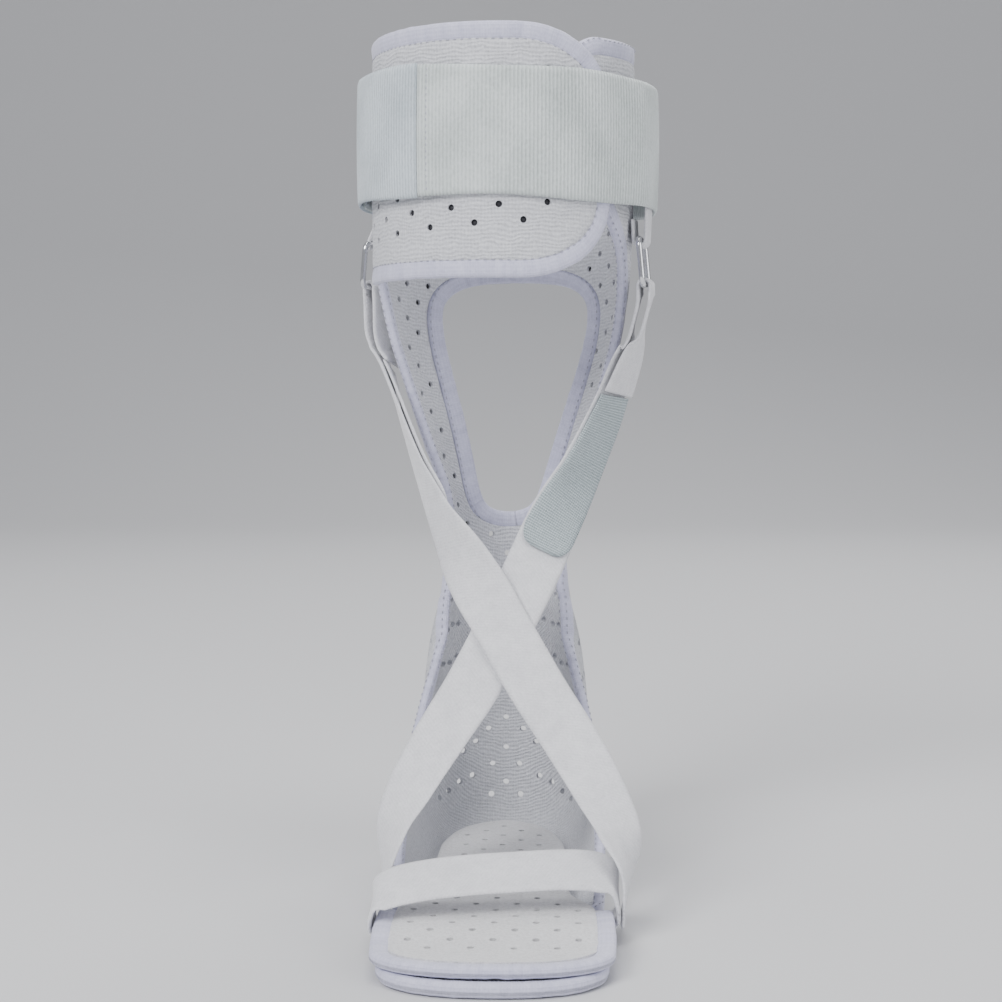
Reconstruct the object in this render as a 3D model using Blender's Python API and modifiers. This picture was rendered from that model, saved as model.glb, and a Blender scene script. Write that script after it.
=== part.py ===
# Foot drop brace: a thin padded shell from the sole up the calf, bound at its edges,
# with a front flap, a calf strap, two crossed straps on rings and a forefoot strap.
# Metres, +Z up. The sole stands on z = 0, the toe points to -Y, the ankle is at y = 0.
import bpy
import bmesh
import numpy as np

# Driving sizes
FOOT_LENGTH = 0.2340       # toe edge to the back of the heel
BRACE_HEIGHT = 0.3710      # floor to the top edge
ANKLE_HEIGHT = 0.1200      # floor to the narrowest place
SOLE_WIDTH = 0.0800        # between the middles of the edge bindings
CUFF_WIDTH = 0.1120        # calf part, middle of one wall to the other
CUFF_DEPTH = 0.1090        # calf part, front to back
HEEL_BACK = 0.0470         # from the ankle axis to the middle of the heel wall
PANEL = 0.0044             # padded panel with its fabric
GAP = 0.0003               # clearance between pieces that touch
BINDING_WIDTH = 0.0080     # folded tape along an edge
BINDING_THICK = 0.0050
WINDOW_HEIGHT = 0.1165     # opening in the back, between the middles of its binding
WINDOW_WIDTH = 0.0770
WINDOW_DROP = 0.1010       # from the brace's top edge down to that opening
CORNER = 0.0150            # rounding of the top corners of the calf part
TWIST = -7.5               # degrees that the calf part is turned from the foot
TOE_TURN = -0.6            # degrees that the foot part is turned
FLAP_THICK = 0.0038
FLAP_DROP = 0.0042         # from the brace's top edge down to the front flap's, at the front
FLAP_HEIGHT = 0.0975
STRAP_WIDTH = 0.0537       # wide calf strap
STRAP_SLANT = 0.0014       # its right side hangs this much lower, its left side higher
STRAP_THICK = 0.0018
STRAP_DROP = 0.0474        # from the brace's top edge down to the middle of the calf strap
TAB_THICK = 0.0015
TAPE_WIDTH = 0.0250        # crossed straps and forefoot strap
TAPE_THICK = 0.0016
RING_WIRE = 0.0026         # wire diameter
RING_HEIGHT = 0.0200       # between the middles of its bars
RING_DROP = 0.0878         # from the brace's top edge down to a ring's upper bar
INSOLE_WIDTH = 0.0946      # with its binding
INSOLE_THICK = 0.0044
HOOK_THICK = 0.0014
INSOLE_DIP = 0.0022        # the insole's toe end lies this much lower, on the sole's edge tape
DIP_FROM = 0.0468          # from the toe edge back to where the dip starts
DIP_LENGTH = 0.0200
INSOLE_BOUND = -0.5000     # share of FOOT_LENGTH where the insole's binding ends
FOREFOOT_BACK = 0.0680     # from the sole's toe edge back to the middle of the forefoot strap
FOREFOOT_ARCH = 0.0145     # rise of the forefoot strap above the insole
FOREFOOT_SLANT = 0.0070    # its right side lies this much nearer the heel
FOREFOOT_LEAN = 0.18       # share by which the arch is higher on the right and lower on the left
ARCH_SIDES = 0.75          # roundness of the arch: 1 is an ellipse, less is squarer
ARCH_TOP = 0.35
FOREFOOT_INWARD = 0.05     # share by which the arch's sides lean in
FOREFOOT_TIP = 24.0        # degrees that its face leans forward on top
SEAM = 155.0               # degrees round the leg from the back, where the calf strap is sewn down
STRAP_RETURN = 455.0       # where the calf strap ends under its tab
TAB_START = 40.0
RING_ANGLE_LEFT = -68.0    # degrees round the leg from the back
RING_ANGLE_RIGHT = 90.0
RING_CORNER = 0.0035       # rounding of the ring's corners
RING_SLOPE = 0.0020        # the lower bar stands out this much more than the upper one
FLAP_END = 231.0           # degrees round the leg where the flap ends
FLAP_CORNER = 0.0300       # height of the flap's rounded corners
FLAP_CORNER_RUN = 0.0360   # their length round the leg
FRONT_RISE = 0.0025        # rise of the flap and the calf strap from the front to the back
RIGHT_LIFT = 0.0118        # the calf strap stands off the shell's right side by this much
FRONT_RETURN = 0.0552      # from a ring's upper bar down to where the returned strap end stops
BACK_RETURN = 0.0682
FRONT_HOOK = 0.0680        # height of the hook tab sewn to that end
BACK_HOOK = 0.0700
TOP_ROWS = 0.0160          # stretch below the top edge with closer rows
LOOP_HIDDEN = 0.0140       # length of ring webbing under the calf strap
LOOP_CLEAR = 0.0012        # where that webbing leaves the strap
LOOP_END = 0.0085          # height of its sewn end above the ring's upper bar
TOE_ROUND = 2.4            # roundness of the toe outline
EDGE_EASE = 0.0025         # the panel stops this much short, so that its straight facets clear the tape
TWIST_FROM = 0.9           # share of ANKLE_HEIGHT where the turn of the calf part starts
TWIST_TO = 0.72            # share of BRACE_HEIGHT where it ends
WALL_BLEND = 0.0100        # length over which the edge tape turns from the sole to the side walls
FLAP_OVER_FROM = 100.0     # degrees round the leg where the flap starts to lift off the shell
FLAP_OVER_TO = 186.0
STRAP_EASE = 0.0004        # slack of the calf strap beside the middle of the back
SOLE_PRESS = 0.0007        # rise of the sole's sides that standing presses flat

# Sizes that follow
SOLE_MIDDLE = BINDING_THICK / 2
PANEL_MIDDLE = PANEL / 2
CUFF_RADIUS = (CUFF_WIDTH + CUFF_DEPTH) / 4
BOUND_EDGE = BINDING_WIDTH / 2 + GAP
FLAP_BINDING = FLAP_THICK + GAP
WINDOW_TOP = BRACE_HEIGHT - WINDOW_DROP
FLAP_TOP = BRACE_HEIGHT - FLAP_DROP
STRAP_MIDDLE = BRACE_HEIGHT - STRAP_DROP
RING_HANG = BRACE_HEIGHT - RING_DROP
FLAP_LIFT = BINDING_THICK / 2 + FLAP_BINDING / 2 + 3 * GAP
OVER_FLAP = FLAP_LIFT + FLAP_BINDING / 2 + GAP + STRAP_THICK / 2
LOOP_LIFT = PANEL_MIDDLE + GAP + TAPE_THICK / 2
UNDER_TAB = LOOP_LIFT + TAPE_THICK / 2 + 2 * GAP + STRAP_THICK / 2
TAB_LIFT = UNDER_TAB + STRAP_THICK / 2 + GAP + TAB_THICK / 2
AT_BACK = PANEL_MIDDLE + GAP + STRAP_THICK / 2
BAR_REACH = RING_WIRE / 2 + 1.5 * GAP + TAPE_THICK / 2
UPPER_BAR = PANEL_MIDDLE + TAPE_THICK + 3 * GAP + RING_WIRE / 2
LOWER_BAR = UPPER_BAR + RING_SLOPE
INSOLE_MIDDLE = BINDING_THICK * 1.5 + 5 * GAP + TAPE_THICK

# Foot sections, toe to heel. y and edge_y are shares of FOOT_LENGTH from the ankle axis,
# z and edge_z shares of ANKLE_HEIGHT above the middle of the sole panel, half shares of
# SOLE_WIDTH, bow a share of FOOT_LENGTH. square is the roundness of the trough.
FOOT_COLUMNS = ("y", "z", "edge_y", "edge_z", "half", "square", "pinch", "bow")
FOOT_SECTIONS = (
    (-0.7970, 0.000, -0.7970, 0.000, 0.503, 4.0, 0.00, 0.106),
    (-0.7200, 0.000, -0.7200, 0.000, 0.508, 4.0, 0.00, 0.068),
    (-0.6300, 0.000, -0.6300, 0.000, 0.510, 4.0, 0.00, 0.035),
    (-0.5400, 0.000, -0.5400, 0.000, 0.510, 4.0, 0.00, 0.010),
    (-0.4300, 0.000, -0.4300, 0.000, 0.515, 3.4, 0.00, 0.000),
    (-0.3850, 0.000, -0.3830, 0.022, 0.520, 3.4, 0.00, 0.000),
    (-0.3450, 0.000, -0.3400, 0.072, 0.528, 3.8, 0.00, 0.000),
    (-0.2900, 0.000, -0.2800, 0.148, 0.534, 4.4, 0.00, 0.000),
    (-0.1950, 0.000, -0.1750, 0.262, 0.536, 5.0, 0.00, 0.000),
    (-0.0850, 0.000, -0.0700, 0.410, 0.532, 5.0, 0.04, 0.000),
    (0.0450, 0.000, 0.0150, 0.585, 0.530, 4.4, 0.14, 0.000),
    (0.1350, 0.020, 0.0500, 0.725, 0.532, 3.4, 0.25, 0.000),
    (0.1790, 0.115, 0.0700, 0.845, 0.532, 2.8, 0.32, 0.000),
    (0.1930, 0.285, 0.0820, 0.955, 0.516, 2.4, 0.32, 0.000),
)
# Calf sections, ankle to top. y and edge_y are shares of HEEL_BACK, z and edge_z shares of
# BRACE_HEIGHT, half a share of CUFF_WIDTH, wrap_left and wrap_right degrees round the leg.
CALF_COLUMNS = ("y", "z", "edge_y", "edge_z", "half", "square", "pinch", "wrap_left", "wrap_right")
CALF_SECTIONS = (
    (0.975, 0.170, 0.420, 0.334, 0.326, 2.3, 0.27, 90.0, 90.0),
    (0.985, 0.250, 0.470, 0.364, 0.264, 2.2, 0.12, 90.0, 90.0),
    (0.995, 0.330, 0.490, 0.405, 0.226, 2.1, 0.00, 90.0, 90.0),
    (1.010, 0.400, 0.470, 0.450, 0.248, 2.0, 0.00, 90.0, 90.0),
    (1.030, 0.485, 0.370, 0.518, 0.325, 2.0, 0.00, 90.0, 90.0),
    (1.050, 0.570, 0.190, 0.590, 0.398, 2.0, 0.00, 90.0, 90.0),
    (1.065, 0.650, 0.020, 0.664, 0.462, 2.0, 0.00, 90.0, 92.0),
    (1.080, 0.725, -0.090, 0.736, 0.492, 2.0, 0.00, 92.0, 100.0),
    (1.095, 0.810, -0.075, 0.822, 0.500, 2.0, 0.00, 96.0, 128.0),
    (1.105, 0.900, -0.062, 0.900, 0.500, 2.0, 0.00, 97.0, 141.0),
    (1.115, 0.978, -0.050, 0.978, 0.500, 2.0, 0.00, 97.0, 142.0),
)
# Window outline: z a share of WINDOW_HEIGHT, half a share of WINDOW_WIDTH.
WINDOW_COLUMNS = ("z", "half")
WINDOW_SHAPE = (
    (0.000, 0.000), (0.012, 0.110), (0.050, 0.190), (0.120, 0.235), (0.240, 0.278),
    (0.400, 0.340), (0.560, 0.410), (0.720, 0.475), (0.850, 0.498), (0.925, 0.460),
    (0.975, 0.360), (0.996, 0.200), (1.000, 0.000),
)
FOREFOOT_REACH = INSOLE_WIDTH / 2 + 3 * GAP + TAPE_THICK / 2
ANCHOR_REACH = FOREFOOT_REACH + GAP + TAPE_THICK
# Crossed straps from one side of the sole to the ring on the other: x is a share of ANCHOR_REACH
# counted towards the side that the strap starts on, y and z shares of FOOT_LENGTH and BRACE_HEIGHT,
# facing is where its face looks, in degrees from -Y towards that side, and pitch how far up.
CROSS_COLUMNS = ("x", "y", "z", "facing", "pitch")
CROSS_FRONT = (
    (0.9950, -0.4680, 0.0130, 90.0, 0.0),
    (1.0350, -0.4600, 0.0600, 82.0, 4.0),
    (0.9850, -0.4320, 0.1030, 46.0, 14.0),
    (0.8200, -0.3760, 0.1470, 28.0, 26.0),
    (0.5850, -0.3160, 0.1960, 16.0, 32.0),
    (0.3200, -0.2560, 0.2460, 8.0, 36.0),
    (0.0000, -0.1710, 0.3130, 0.0, 38.0),
    (-0.2800, -0.1070, 0.3720, -30.0, 18.0),
    (-0.5500, -0.0430, 0.4290, -60.0, -4.0),
    (-0.7350, 0.0050, 0.4800, -72.0, -8.0),
    (-0.9650, 0.0300, 0.5600, -82.0, -6.0),
    (-1.1650, 0.0600, 0.6300, -94.0, 0.0),
)
CROSS_BACK = (
    (0.9250, -0.4180, 0.0130, 90.0, 0.0),
    (0.9000, -0.4130, 0.0600, 80.0, 4.0),
    (0.8600, -0.4010, 0.1030, 58.0, 12.0),
    (0.7150, -0.3650, 0.1470, 36.0, 24.0),
    (0.4900, -0.3050, 0.1960, 22.0, 32.0),
    (0.2400, -0.2400, 0.2460, 9.0, 38.0),
    (-0.0400, -0.1570, 0.3130, 0.0, 38.0),
    (-0.2640, -0.0950, 0.3720, -8.0, 30.0),
    (-0.4600, -0.0400, 0.4290, -26.0, 14.0),
    (-0.6640, -0.0020, 0.4850, -50.0, 4.0),
    (-0.9150, 0.0120, 0.5650, -62.0, 0.0),
    (-1.0950, 0.0080, 0.6400, -74.0, 0.0),
)
# Insole outline, toe to heel: y a share of FOOT_LENGTH from the ankle axis, half a share of
# INSOLE_WIDTH to the middle of its edge binding, bow a share of FOOT_LENGTH.
INSOLE_COLUMNS = ("y", "half", "bow")
INSOLE_SHAPE = (
    (-0.7780, 0.452, 0.090), (-0.7050, 0.457, 0.058), (-0.6200, 0.458, 0.026),
    (-0.5500, 0.457, 0.006), (-0.4900, 0.450, 0.000), (-0.4400, 0.395, 0.000),
    (-0.3900, 0.345, 0.000), (-0.2500, 0.335, 0.000), (-0.0800, 0.325, 0.000),
    (0.0200, 0.280, 0.000), (0.0700, 0.230, 0.000), (0.1020, 0.165, 0.000),
    (0.1240, 0.070, 0.000),
)
FOREFOOT_Y = FOOT_SECTIONS[0][0] * FOOT_LENGTH + FOREFOOT_BACK
FLAT_UNTIL = 4             # last foot section whose panel is flat
CUFF_FROM = len(FOOT_SECTIONS) + 8
RING_ANGLES = {"left": np.radians(RING_ANGLE_LEFT), "right": np.radians(RING_ANGLE_RIGHT)}
FLAP_ANGLES = (np.radians(CALF_SECTIONS[-1][-2]) + BOUND_EDGE / CUFF_RADIUS, np.radians(FLAP_END))


def table(columns, rows):
    """The rows as one array per named column."""
    return {name: np.array([row[i] for row in rows], float) for i, name in enumerate(columns)}


def smooth(x, xs, ys):
    """Monotone cubic through the points (xs, ys), so that level stretches stay level."""
    xs, ys = np.asarray(xs, float), np.asarray(ys, float)
    h, d = np.diff(xs), np.diff(ys) / np.diff(xs)
    m = np.zeros(len(xs))
    both = d[:-1] * d[1:] > 1e-18
    w1, w2 = 2 * h[1:] + h[:-1], h[1:] + 2 * h[:-1]
    safe = np.where(both, d[:-1] * d[1:], 1.0)
    m[1:-1] = np.where(both, (w1 + w2) * safe / np.where(both, w1 * d[1:] + w2 * d[:-1], 1.0), 0.0)
    m[0], m[-1] = d[0], d[-1]
    i = np.clip(np.searchsorted(xs, x) - 1, 0, len(xs) - 2)
    t = (x - xs[i]) / h[i]
    rise = (3 * t**2 - 2 * t**3) * (ys[i + 1] - ys[i])
    return ys[i] + rise + h[i] * ((t**3 - 2 * t**2 + t) * m[i] + (t**3 - t**2) * m[i + 1])


def unit(v):
    return v / np.maximum(np.linalg.norm(v, axis=-1, keepdims=True), 1e-12)


def turned(p):
    """Turns points by their height: the calf part faces a little to one side."""
    low, high = TWIST_FROM * ANKLE_HEIGHT, TWIST_TO * BRACE_HEIGHT
    share = np.clip((p[..., 2] - low) / (high - low), 0, 1)
    share = share * share * (3 - 2 * share)
    a = np.radians(TOE_TURN + (TWIST - TOE_TURN) * share)
    x, y = p[..., 0], p[..., 1]
    out = np.array(p, float)
    out[..., 0] = x * np.cos(a) - y * np.sin(a)
    out[..., 1] = x * np.sin(a) + y * np.cos(a)
    return out


def stations():
    """All sections of the shell in metres, foot and calf, one array per column."""
    foot, calf = table(FOOT_COLUMNS, FOOT_SECTIONS), table(CALF_COLUMNS, CALF_SECTIONS)
    n = len(FOOT_SECTIONS)
    foot_y = foot["y"] * FOOT_LENGTH
    foot_edge = foot["edge_y"] * FOOT_LENGTH
    level = PANEL_MIDDLE
    join = lambda a, b: np.concatenate([a, b])
    return {
        "y": join(foot_y, calf["y"] * HEEL_BACK),
        "z": join(foot["z"] * ANKLE_HEIGHT + level, calf["z"] * BRACE_HEIGHT),
        "edge_y": join(foot_edge, calf["edge_y"] * HEEL_BACK),
        "edge_z": join(foot["edge_z"] * ANKLE_HEIGHT + level, calf["edge_z"] * BRACE_HEIGHT),
        "half": join(foot["half"] * SOLE_WIDTH, calf["half"] * CUFF_WIDTH),
        "square": join(foot["square"], calf["square"]),
        "pinch": join(foot["pinch"], calf["pinch"]),
        "bow": join(foot["bow"] * FOOT_LENGTH, 0 * calf["y"]),
        "wrap_left": join(np.full(n, 90.0), calf["wrap_left"]),
        "wrap_right": join(np.full(n, 90.0), calf["wrap_right"]),
    }


STATIONS = stations()
LAST = len(STATIONS["y"]) - 1


def at(name, t):
    return smooth(t, np.arange(LAST + 1), STATIONS[name])


def flat_share(t):
    """1 where the sole panel is flat, 0 where its walls rise."""
    return np.clip(FLAT_UNTIL + 0.5 - t, 0, 1)


def trough(t, angle, inset=0.0):
    """Shell middle at station t and angle from the back: superellipse across, opening towards the edge.

    x = half * sin(angle)^(2/square), depth = reach * (1 - cos(angle)^(2/square)).
    On the flat sole the outline is drawn in by inset. The lowest SOLE_PRESS of each side's rise is
    pressed flat, so that the sole stands on a plane.
    """
    e = 2 / at("square", t)
    s, c = np.sin(angle), np.cos(angle)
    across = np.sign(s) * np.abs(s) ** e
    deep = 1 - np.sign(c) * np.abs(c) ** e
    narrow = 1 - at("pinch", t) * np.clip(deep, 0, 1) ** 2
    y, z = at("y", t), at("z", t)
    rise = deep * (at("edge_z", t) - z)
    press = SOLE_PRESS * np.clip(1 - z / PANEL, 0, 1)
    bow = at("bow", t) * (1 - inset / STATIONS["bow"][0])
    bow = bow * (1 - (1 - np.minimum(np.abs(across), 1) ** TOE_ROUND) ** (1 / TOE_ROUND))
    return np.stack([
        (at("half", t) - inset * flat_share(t)) * across * narrow,
        y + deep * (at("edge_y", t) - y) + bow,
        z + rise - np.clip(rise, -press, press),
    ], -1)


def lengths(p):
    """Distance along each row of points."""
    step = np.linalg.norm(np.diff(p, axis=1), axis=-1)
    return np.concatenate([np.zeros((len(p), 1)), np.cumsum(step, axis=1)], axis=1)


SPINE_T = np.linspace(0, LAST, 600)
SPINE = trough(SPINE_T, np.zeros(600))
SPINE_LENGTH = lengths(SPINE[None])[0]


def station_at(distance):
    """Station at a distance along the spine from the toe."""
    return np.interp(distance, SPINE_LENGTH, SPINE_T)


def corner_cut(t, inset):
    """How far the rounded top corner takes the side edge in, in metres."""
    left = SPINE_LENGTH[-1] - inset - np.interp(t, SPINE_T, SPINE_LENGTH)
    r = CORNER - inset
    x = np.clip(1 - left / r, 0, 1)
    return r * (1 - np.sqrt(1 - x * x))


def edge_slant(t, wrap):
    """How much longer a row is inside the edge binding where the edge crosses it at a slant."""
    step = 0.02
    along = unit(trough(np.minimum(t + step, LAST), wrap) - trough(np.maximum(t - step, 0), wrap))
    row = unit(trough(t, wrap) - trough(t, wrap * 0.98))
    sine = np.linalg.norm(np.cross(along, row), axis=-1)
    return 1 / np.clip(sine, 0.5, 1.0)


def shell_rows(t, across, inset=0.0, lift=0.0):
    """Shell points for stations t and shares across (-1 left edge, 1 right edge)."""
    t, across = np.asarray(t, float), np.asarray(across, float)
    out = np.zeros((len(t), len(across), 3))
    dense = np.linspace(0, 1, 400)
    for side, name in ((-1, "wrap_left"), (1, "wrap_right")):
        wrap = np.radians(at(name, t))
        p = trough(t[:, None], side * wrap[:, None] * dense[None], inset)
        run = lengths(p)
        trim = inset * edge_slant(t, side * wrap) * (1 - flat_share(t))
        edge = run[:, -1] - trim - corner_cut(t, inset)
        pick = np.where(across * side >= 0)[0]
        for i in range(len(t)):
            want = np.abs(across[pick]) * edge[i]
            for axis in range(3):
                out[i, pick, axis] = np.interp(want, run[i], p[i, :, axis])
    if lift:
        out = out + lift * shell_normals(out)
    return out


def shell_normals(p):
    """Unit normals of a grid of points, towards the leg and the foot."""
    along = np.gradient(p, axis=0)
    across = np.gradient(p, axis=1)
    return unit(np.cross(along, across))


def new_material(name, colour, roughness, metallic=0.0):
    material = bpy.data.materials.new(name)
    material.use_nodes = True
    shader = material.node_tree.nodes["Principled BSDF"]
    shader.inputs["Base Color"].default_value = (*colour, 1.0)
    shader.inputs["Roughness"].default_value = roughness
    shader.inputs["Metallic"].default_value = metallic
    return material


def mesh_object(name, points, faces, material, collection):
    """A mesh object with outward faces."""
    mesh = bpy.data.meshes.new(name)
    mesh.from_pydata([tuple(p) for p in points], [], faces)
    tidy = bmesh.new()
    tidy.from_mesh(mesh)
    bmesh.ops.recalc_face_normals(tidy, faces=tidy.faces)
    tidy.to_mesh(mesh)
    tidy.free()
    mesh.shade_smooth()
    obj = bpy.data.objects.new(name, mesh)
    obj.data.materials.append(material)
    collection.objects.link(obj)
    return obj


def grid_faces(rows, columns, close_rows=False):
    """Quads of a grid of points, joined end to end where asked."""
    last = rows if close_rows else rows - 1
    faces = []
    for i in range(last):
        for j in range(columns - 1):
            k = (i + 1) % rows
            faces.append((i * columns + j, i * columns + j + 1, k * columns + j + 1, k * columns + j))
    return faces


def sheet(name, grid, thickness, material, collection):
    """An open surface through a grid of points, thickened evenly about its middle."""
    rows, columns = grid.shape[:2]
    obj = mesh_object(name, grid.reshape(-1, 3), grid_faces(rows, columns), material, collection)
    solid = obj.modifiers.new("Thickness", "SOLIDIFY")
    solid.thickness = thickness
    solid.offset = 0.0
    solid.use_even_offset = True
    return obj


def tape_profile(width, thickness, sides=6):
    """Oval section of a folded binding, as shares along and across its width."""
    a = np.linspace(0, 2 * np.pi, sides, endpoint=False) + np.pi / sides
    p = 0.62
    x = np.sign(np.cos(a)) * np.abs(np.cos(a)) ** p
    y = np.sign(np.sin(a)) * np.abs(np.sin(a)) ** p
    return np.stack([x / np.abs(x).max() * width / 2, y / np.abs(y).max() * thickness / 2], -1)


def binding(name, path, normals, width, thickness, material, collection, closed=True, sides=6):
    """A rounded tape carried along a path, its width in the panel, its thickness along the normals."""
    tangent = unit(np.roll(path, -1, 0) - np.roll(path, 1, 0))
    if not closed:
        tangent[0], tangent[-1] = unit(path[1] - path[0]), unit(path[-1] - path[-2])
    normals = unit(normals - (normals * tangent).sum(-1, keepdims=True) * tangent)
    side = np.cross(normals, tangent)
    profile = tape_profile(width, thickness, sides)
    points = path[:, None] + side[:, None] * profile[None, :, :1] + normals[:, None] * profile[None, :, 1:]
    n, m = points.shape[:2]
    faces = []
    for i in range(n if closed else n - 1):
        k = (i + 1) % n
        for j in range(m):
            l = (j + 1) % m
            faces.append((i * m + j, i * m + l, k * m + l, k * m + j))
    if not closed:
        faces.append(tuple(range(m)))
        faces.append(tuple(range((n - 1) * m, n * m)))
    return mesh_object(name, points.reshape(-1, 3), faces, material, collection)


def even(path, count, closed=False):
    """The same path with count evenly spaced points."""
    loop = np.vstack([path, path[:1]]) if closed else path
    run = lengths(loop[None])[0]
    want = np.linspace(0, run[-1], count, endpoint=not closed)
    return np.stack([np.interp(want, run, loop[:, k]) for k in range(3)], -1)


def shell_outline():
    """Middle line of the edge binding, once round the shell, with the surface normals."""
    t = np.concatenate([np.linspace(0, LAST - 1, 160), LAST - 1 + np.sin(np.linspace(0, np.pi / 2, 40))[1:]])
    across = np.sin(np.linspace(-np.pi / 2, np.pi / 2, 61))
    grid = shell_rows(t, across)
    normal = shell_normals(grid)
    loops = []
    for g in (grid, normal):
        loops.append(np.vstack([g[1:, -1], g[-1, -2::-1], g[-2::-1, 0], g[0, 1:]]))
    return loops


def resample(path, values, count):
    """Path and values at count evenly spaced places round a closed loop."""
    loop, more = np.vstack([path, path[:1]]), np.vstack([values, values[:1]])
    run = lengths(loop[None])[0]
    want = np.linspace(0, run[-1], count, endpoint=False)
    pick = lambda v: np.stack([np.interp(want, run, v[:, k]) for k in range(3)], -1)
    return pick(loop), unit(pick(more))


def window_outline(grow, count=36):
    """Outline of the window as (x, z), grown outwards by a distance."""
    shape = table(WINDOW_COLUMNS, WINDOW_SHAPE)
    low = WINDOW_TOP - WINDOW_HEIGHT
    half = np.stack([shape["half"] * WINDOW_WIDTH, low + shape["z"] * WINDOW_HEIGHT], -1)
    loop = np.vstack([half, (half * (-1, 1))[-2:0:-1]])
    loop = np.hstack([loop[:, :1], np.zeros((len(loop), 1)), loop[:, 1:]])
    for _ in range(3):
        loop = closed_chaikin(loop)
    loop = even(loop, count, closed=True)
    tangent = unit(np.roll(loop, -1, 0) - np.roll(loop, 1, 0))
    outward = np.stack([tangent[:, 2], np.zeros(len(loop)), -tangent[:, 0]], -1)
    return loop + grow * outward


def closed_chaikin(p):
    """Rounds a closed outline by cutting its corners."""
    q = np.roll(p, -1, 0)
    return np.stack([0.75 * p + 0.25 * q, 0.25 * p + 0.75 * q], 1).reshape(-1, p.shape[1])


def wall_at(x, z):
    """Points of the back wall's middle with given x and z, before the calf part is turned."""
    t = np.interp(z, SPINE[:, 2][200:], SPINE_T[200:])
    y = np.zeros_like(x)
    for _ in range(12):
        angle = np.arcsin(np.clip(x / at("half", t), -0.999, 0.999))
        p = trough(t, angle)
        t = np.clip(t + (z - p[:, 2]) / 0.030, 0, LAST)
        y = p[:, 1]
    return np.stack([x, y, z], -1)


def shell(collection, cutters, fabric, guide):
    edge = BOUND_EDGE
    start, end = edge, SPINE_LENGTH[-1] - edge
    side = lengths(trough(SPINE_T, np.radians(at("wrap_right", SPINE_T)))[None])[0]
    run = side + SPINE_LENGTH
    stops = np.interp((start, end - TOP_ROWS), SPINE_LENGTH, run)
    foot = np.interp(np.linspace(*stops, 48), run, SPINE_LENGTH)
    top = end - TOP_ROWS * (1 - np.sin(np.linspace(0, np.pi / 2, 5)))
    t = station_at(np.concatenate([foot, top[1:]]))
    across = np.sin(np.linspace(-1, 1, 15) * np.pi / 2.15) / np.sin(np.pi / 2.15)
    grid = turned(shell_rows(t, across, inset=edge + EDGE_EASE))
    panel = sheet("shell", grid, PANEL, fabric, collection)
    outline = window_outline(edge + GAP)
    ring = wall_at(outline[:, 0], outline[:, 2])
    rings = [turned(ring + (0, reach, 0)) for reach in (-0.03, 0.03)]
    n = len(outline)
    points = np.vstack(rings)
    faces = [(i, (i + 1) % n, n + (i + 1) % n, n + i) for i in range(n)]
    faces += [tuple(range(n)), tuple(range(n, 2 * n))]
    cutter = mesh_object("window_cutter", points, faces, guide, cutters)
    cutter.hide_render = True
    cutter.display_type = "WIRE"
    cut = panel.modifiers.new("Window", "BOOLEAN")
    cut.operation = "DIFFERENCE"
    cut.solver = "EXACT"
    cut.object = cutter
    return panel


def shell_bindings(collection, fabric):
    path, normal = shell_outline()
    wall = FOOT_SECTIONS[FLAT_UNTIL][0] * FOOT_LENGTH + WALL_BLEND
    flat = np.clip((wall - path[:, 1]) / WALL_BLEND, 0, 1)[:, None] * (path[:, 2:] < WALL_BLEND)
    normal = unit(normal * (1 - flat) + flat * np.array((0.0, 0.0, 1.0)))
    path, normal = resample(path, normal, 136)
    path = turned(path) + (0, 0, SOLE_MIDDLE - PANEL_MIDDLE)
    tangent = unit(np.roll(path, -1, 0) - np.roll(path, 1, 0))
    normal = unit(normal - (normal * tangent).sum(-1, keepdims=True) * tangent)
    tilt = np.abs(np.cross(normal, tangent)[:, 2]) * BINDING_WIDTH + np.abs(normal[:, 2]) * BINDING_THICK
    path[:, 2] = np.maximum(path[:, 2], tilt / 2)
    binding("shell_binding", path, normal, BINDING_WIDTH, BINDING_THICK, fabric, collection)
    outline = window_outline(0.0)
    path = wall_at(outline[:, 0], outline[:, 2])
    step = 0.001
    right = wall_at(outline[:, 0] + step, outline[:, 2]) - wall_at(outline[:, 0] - step, outline[:, 2])
    above = wall_at(outline[:, 0], outline[:, 2] + step) - wall_at(outline[:, 0], outline[:, 2] - step)
    normal = unit(np.cross(above, right))
    far = turned(path + 0.01 * normal)
    path = turned(path)
    binding("window_binding", path, unit(far - path), BINDING_WIDTH, BINDING_THICK, fabric, collection)


def cuff_grid(t, angle, lift):
    """Points round the calf part at stations t and angles from the back, lifted off its middle.

    Below the straight part of the cuff they keep its full width.
    """
    t, angle = np.broadcast_arrays(np.asarray(t, float), np.asarray(angle, float))
    full = np.maximum(t, CUFF_FROM)
    p = trough(full, angle)
    deep = 1 - np.cos(angle)
    low = at("z", t) + deep * (at("edge_z", t) - at("z", t))
    p[..., 2] = low
    outward = np.stack([
        np.sin(angle) / at("half", full),
        np.cos(angle) / (at("y", full) - at("edge_y", full)),
        np.zeros_like(angle),
    ], -1)
    return p + unit(outward) * np.asarray(lift, float)[..., None]


def cuff_station(z):
    """Station whose side point lies at height z."""
    t = np.linspace(len(FOOT_SECTIONS) + 4, LAST + 1.5, 400)
    grown = np.minimum(t, LAST)
    side = at("edge_z", grown) + (t - grown) * (STATIONS["edge_z"][LAST] - STATIONS["edge_z"][LAST - 1])
    return np.interp(z, side, t)


def flap_lift(angle):
    """The front flap leaves the left edge of the shell and lies over the right one."""
    first, last = np.radians((FLAP_OVER_FROM, FLAP_OVER_TO))
    share = np.clip((np.abs(angle) - first) / (last - first), 0, 1)
    return FLAP_LIFT * share * share * (3 - 2 * share)


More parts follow.
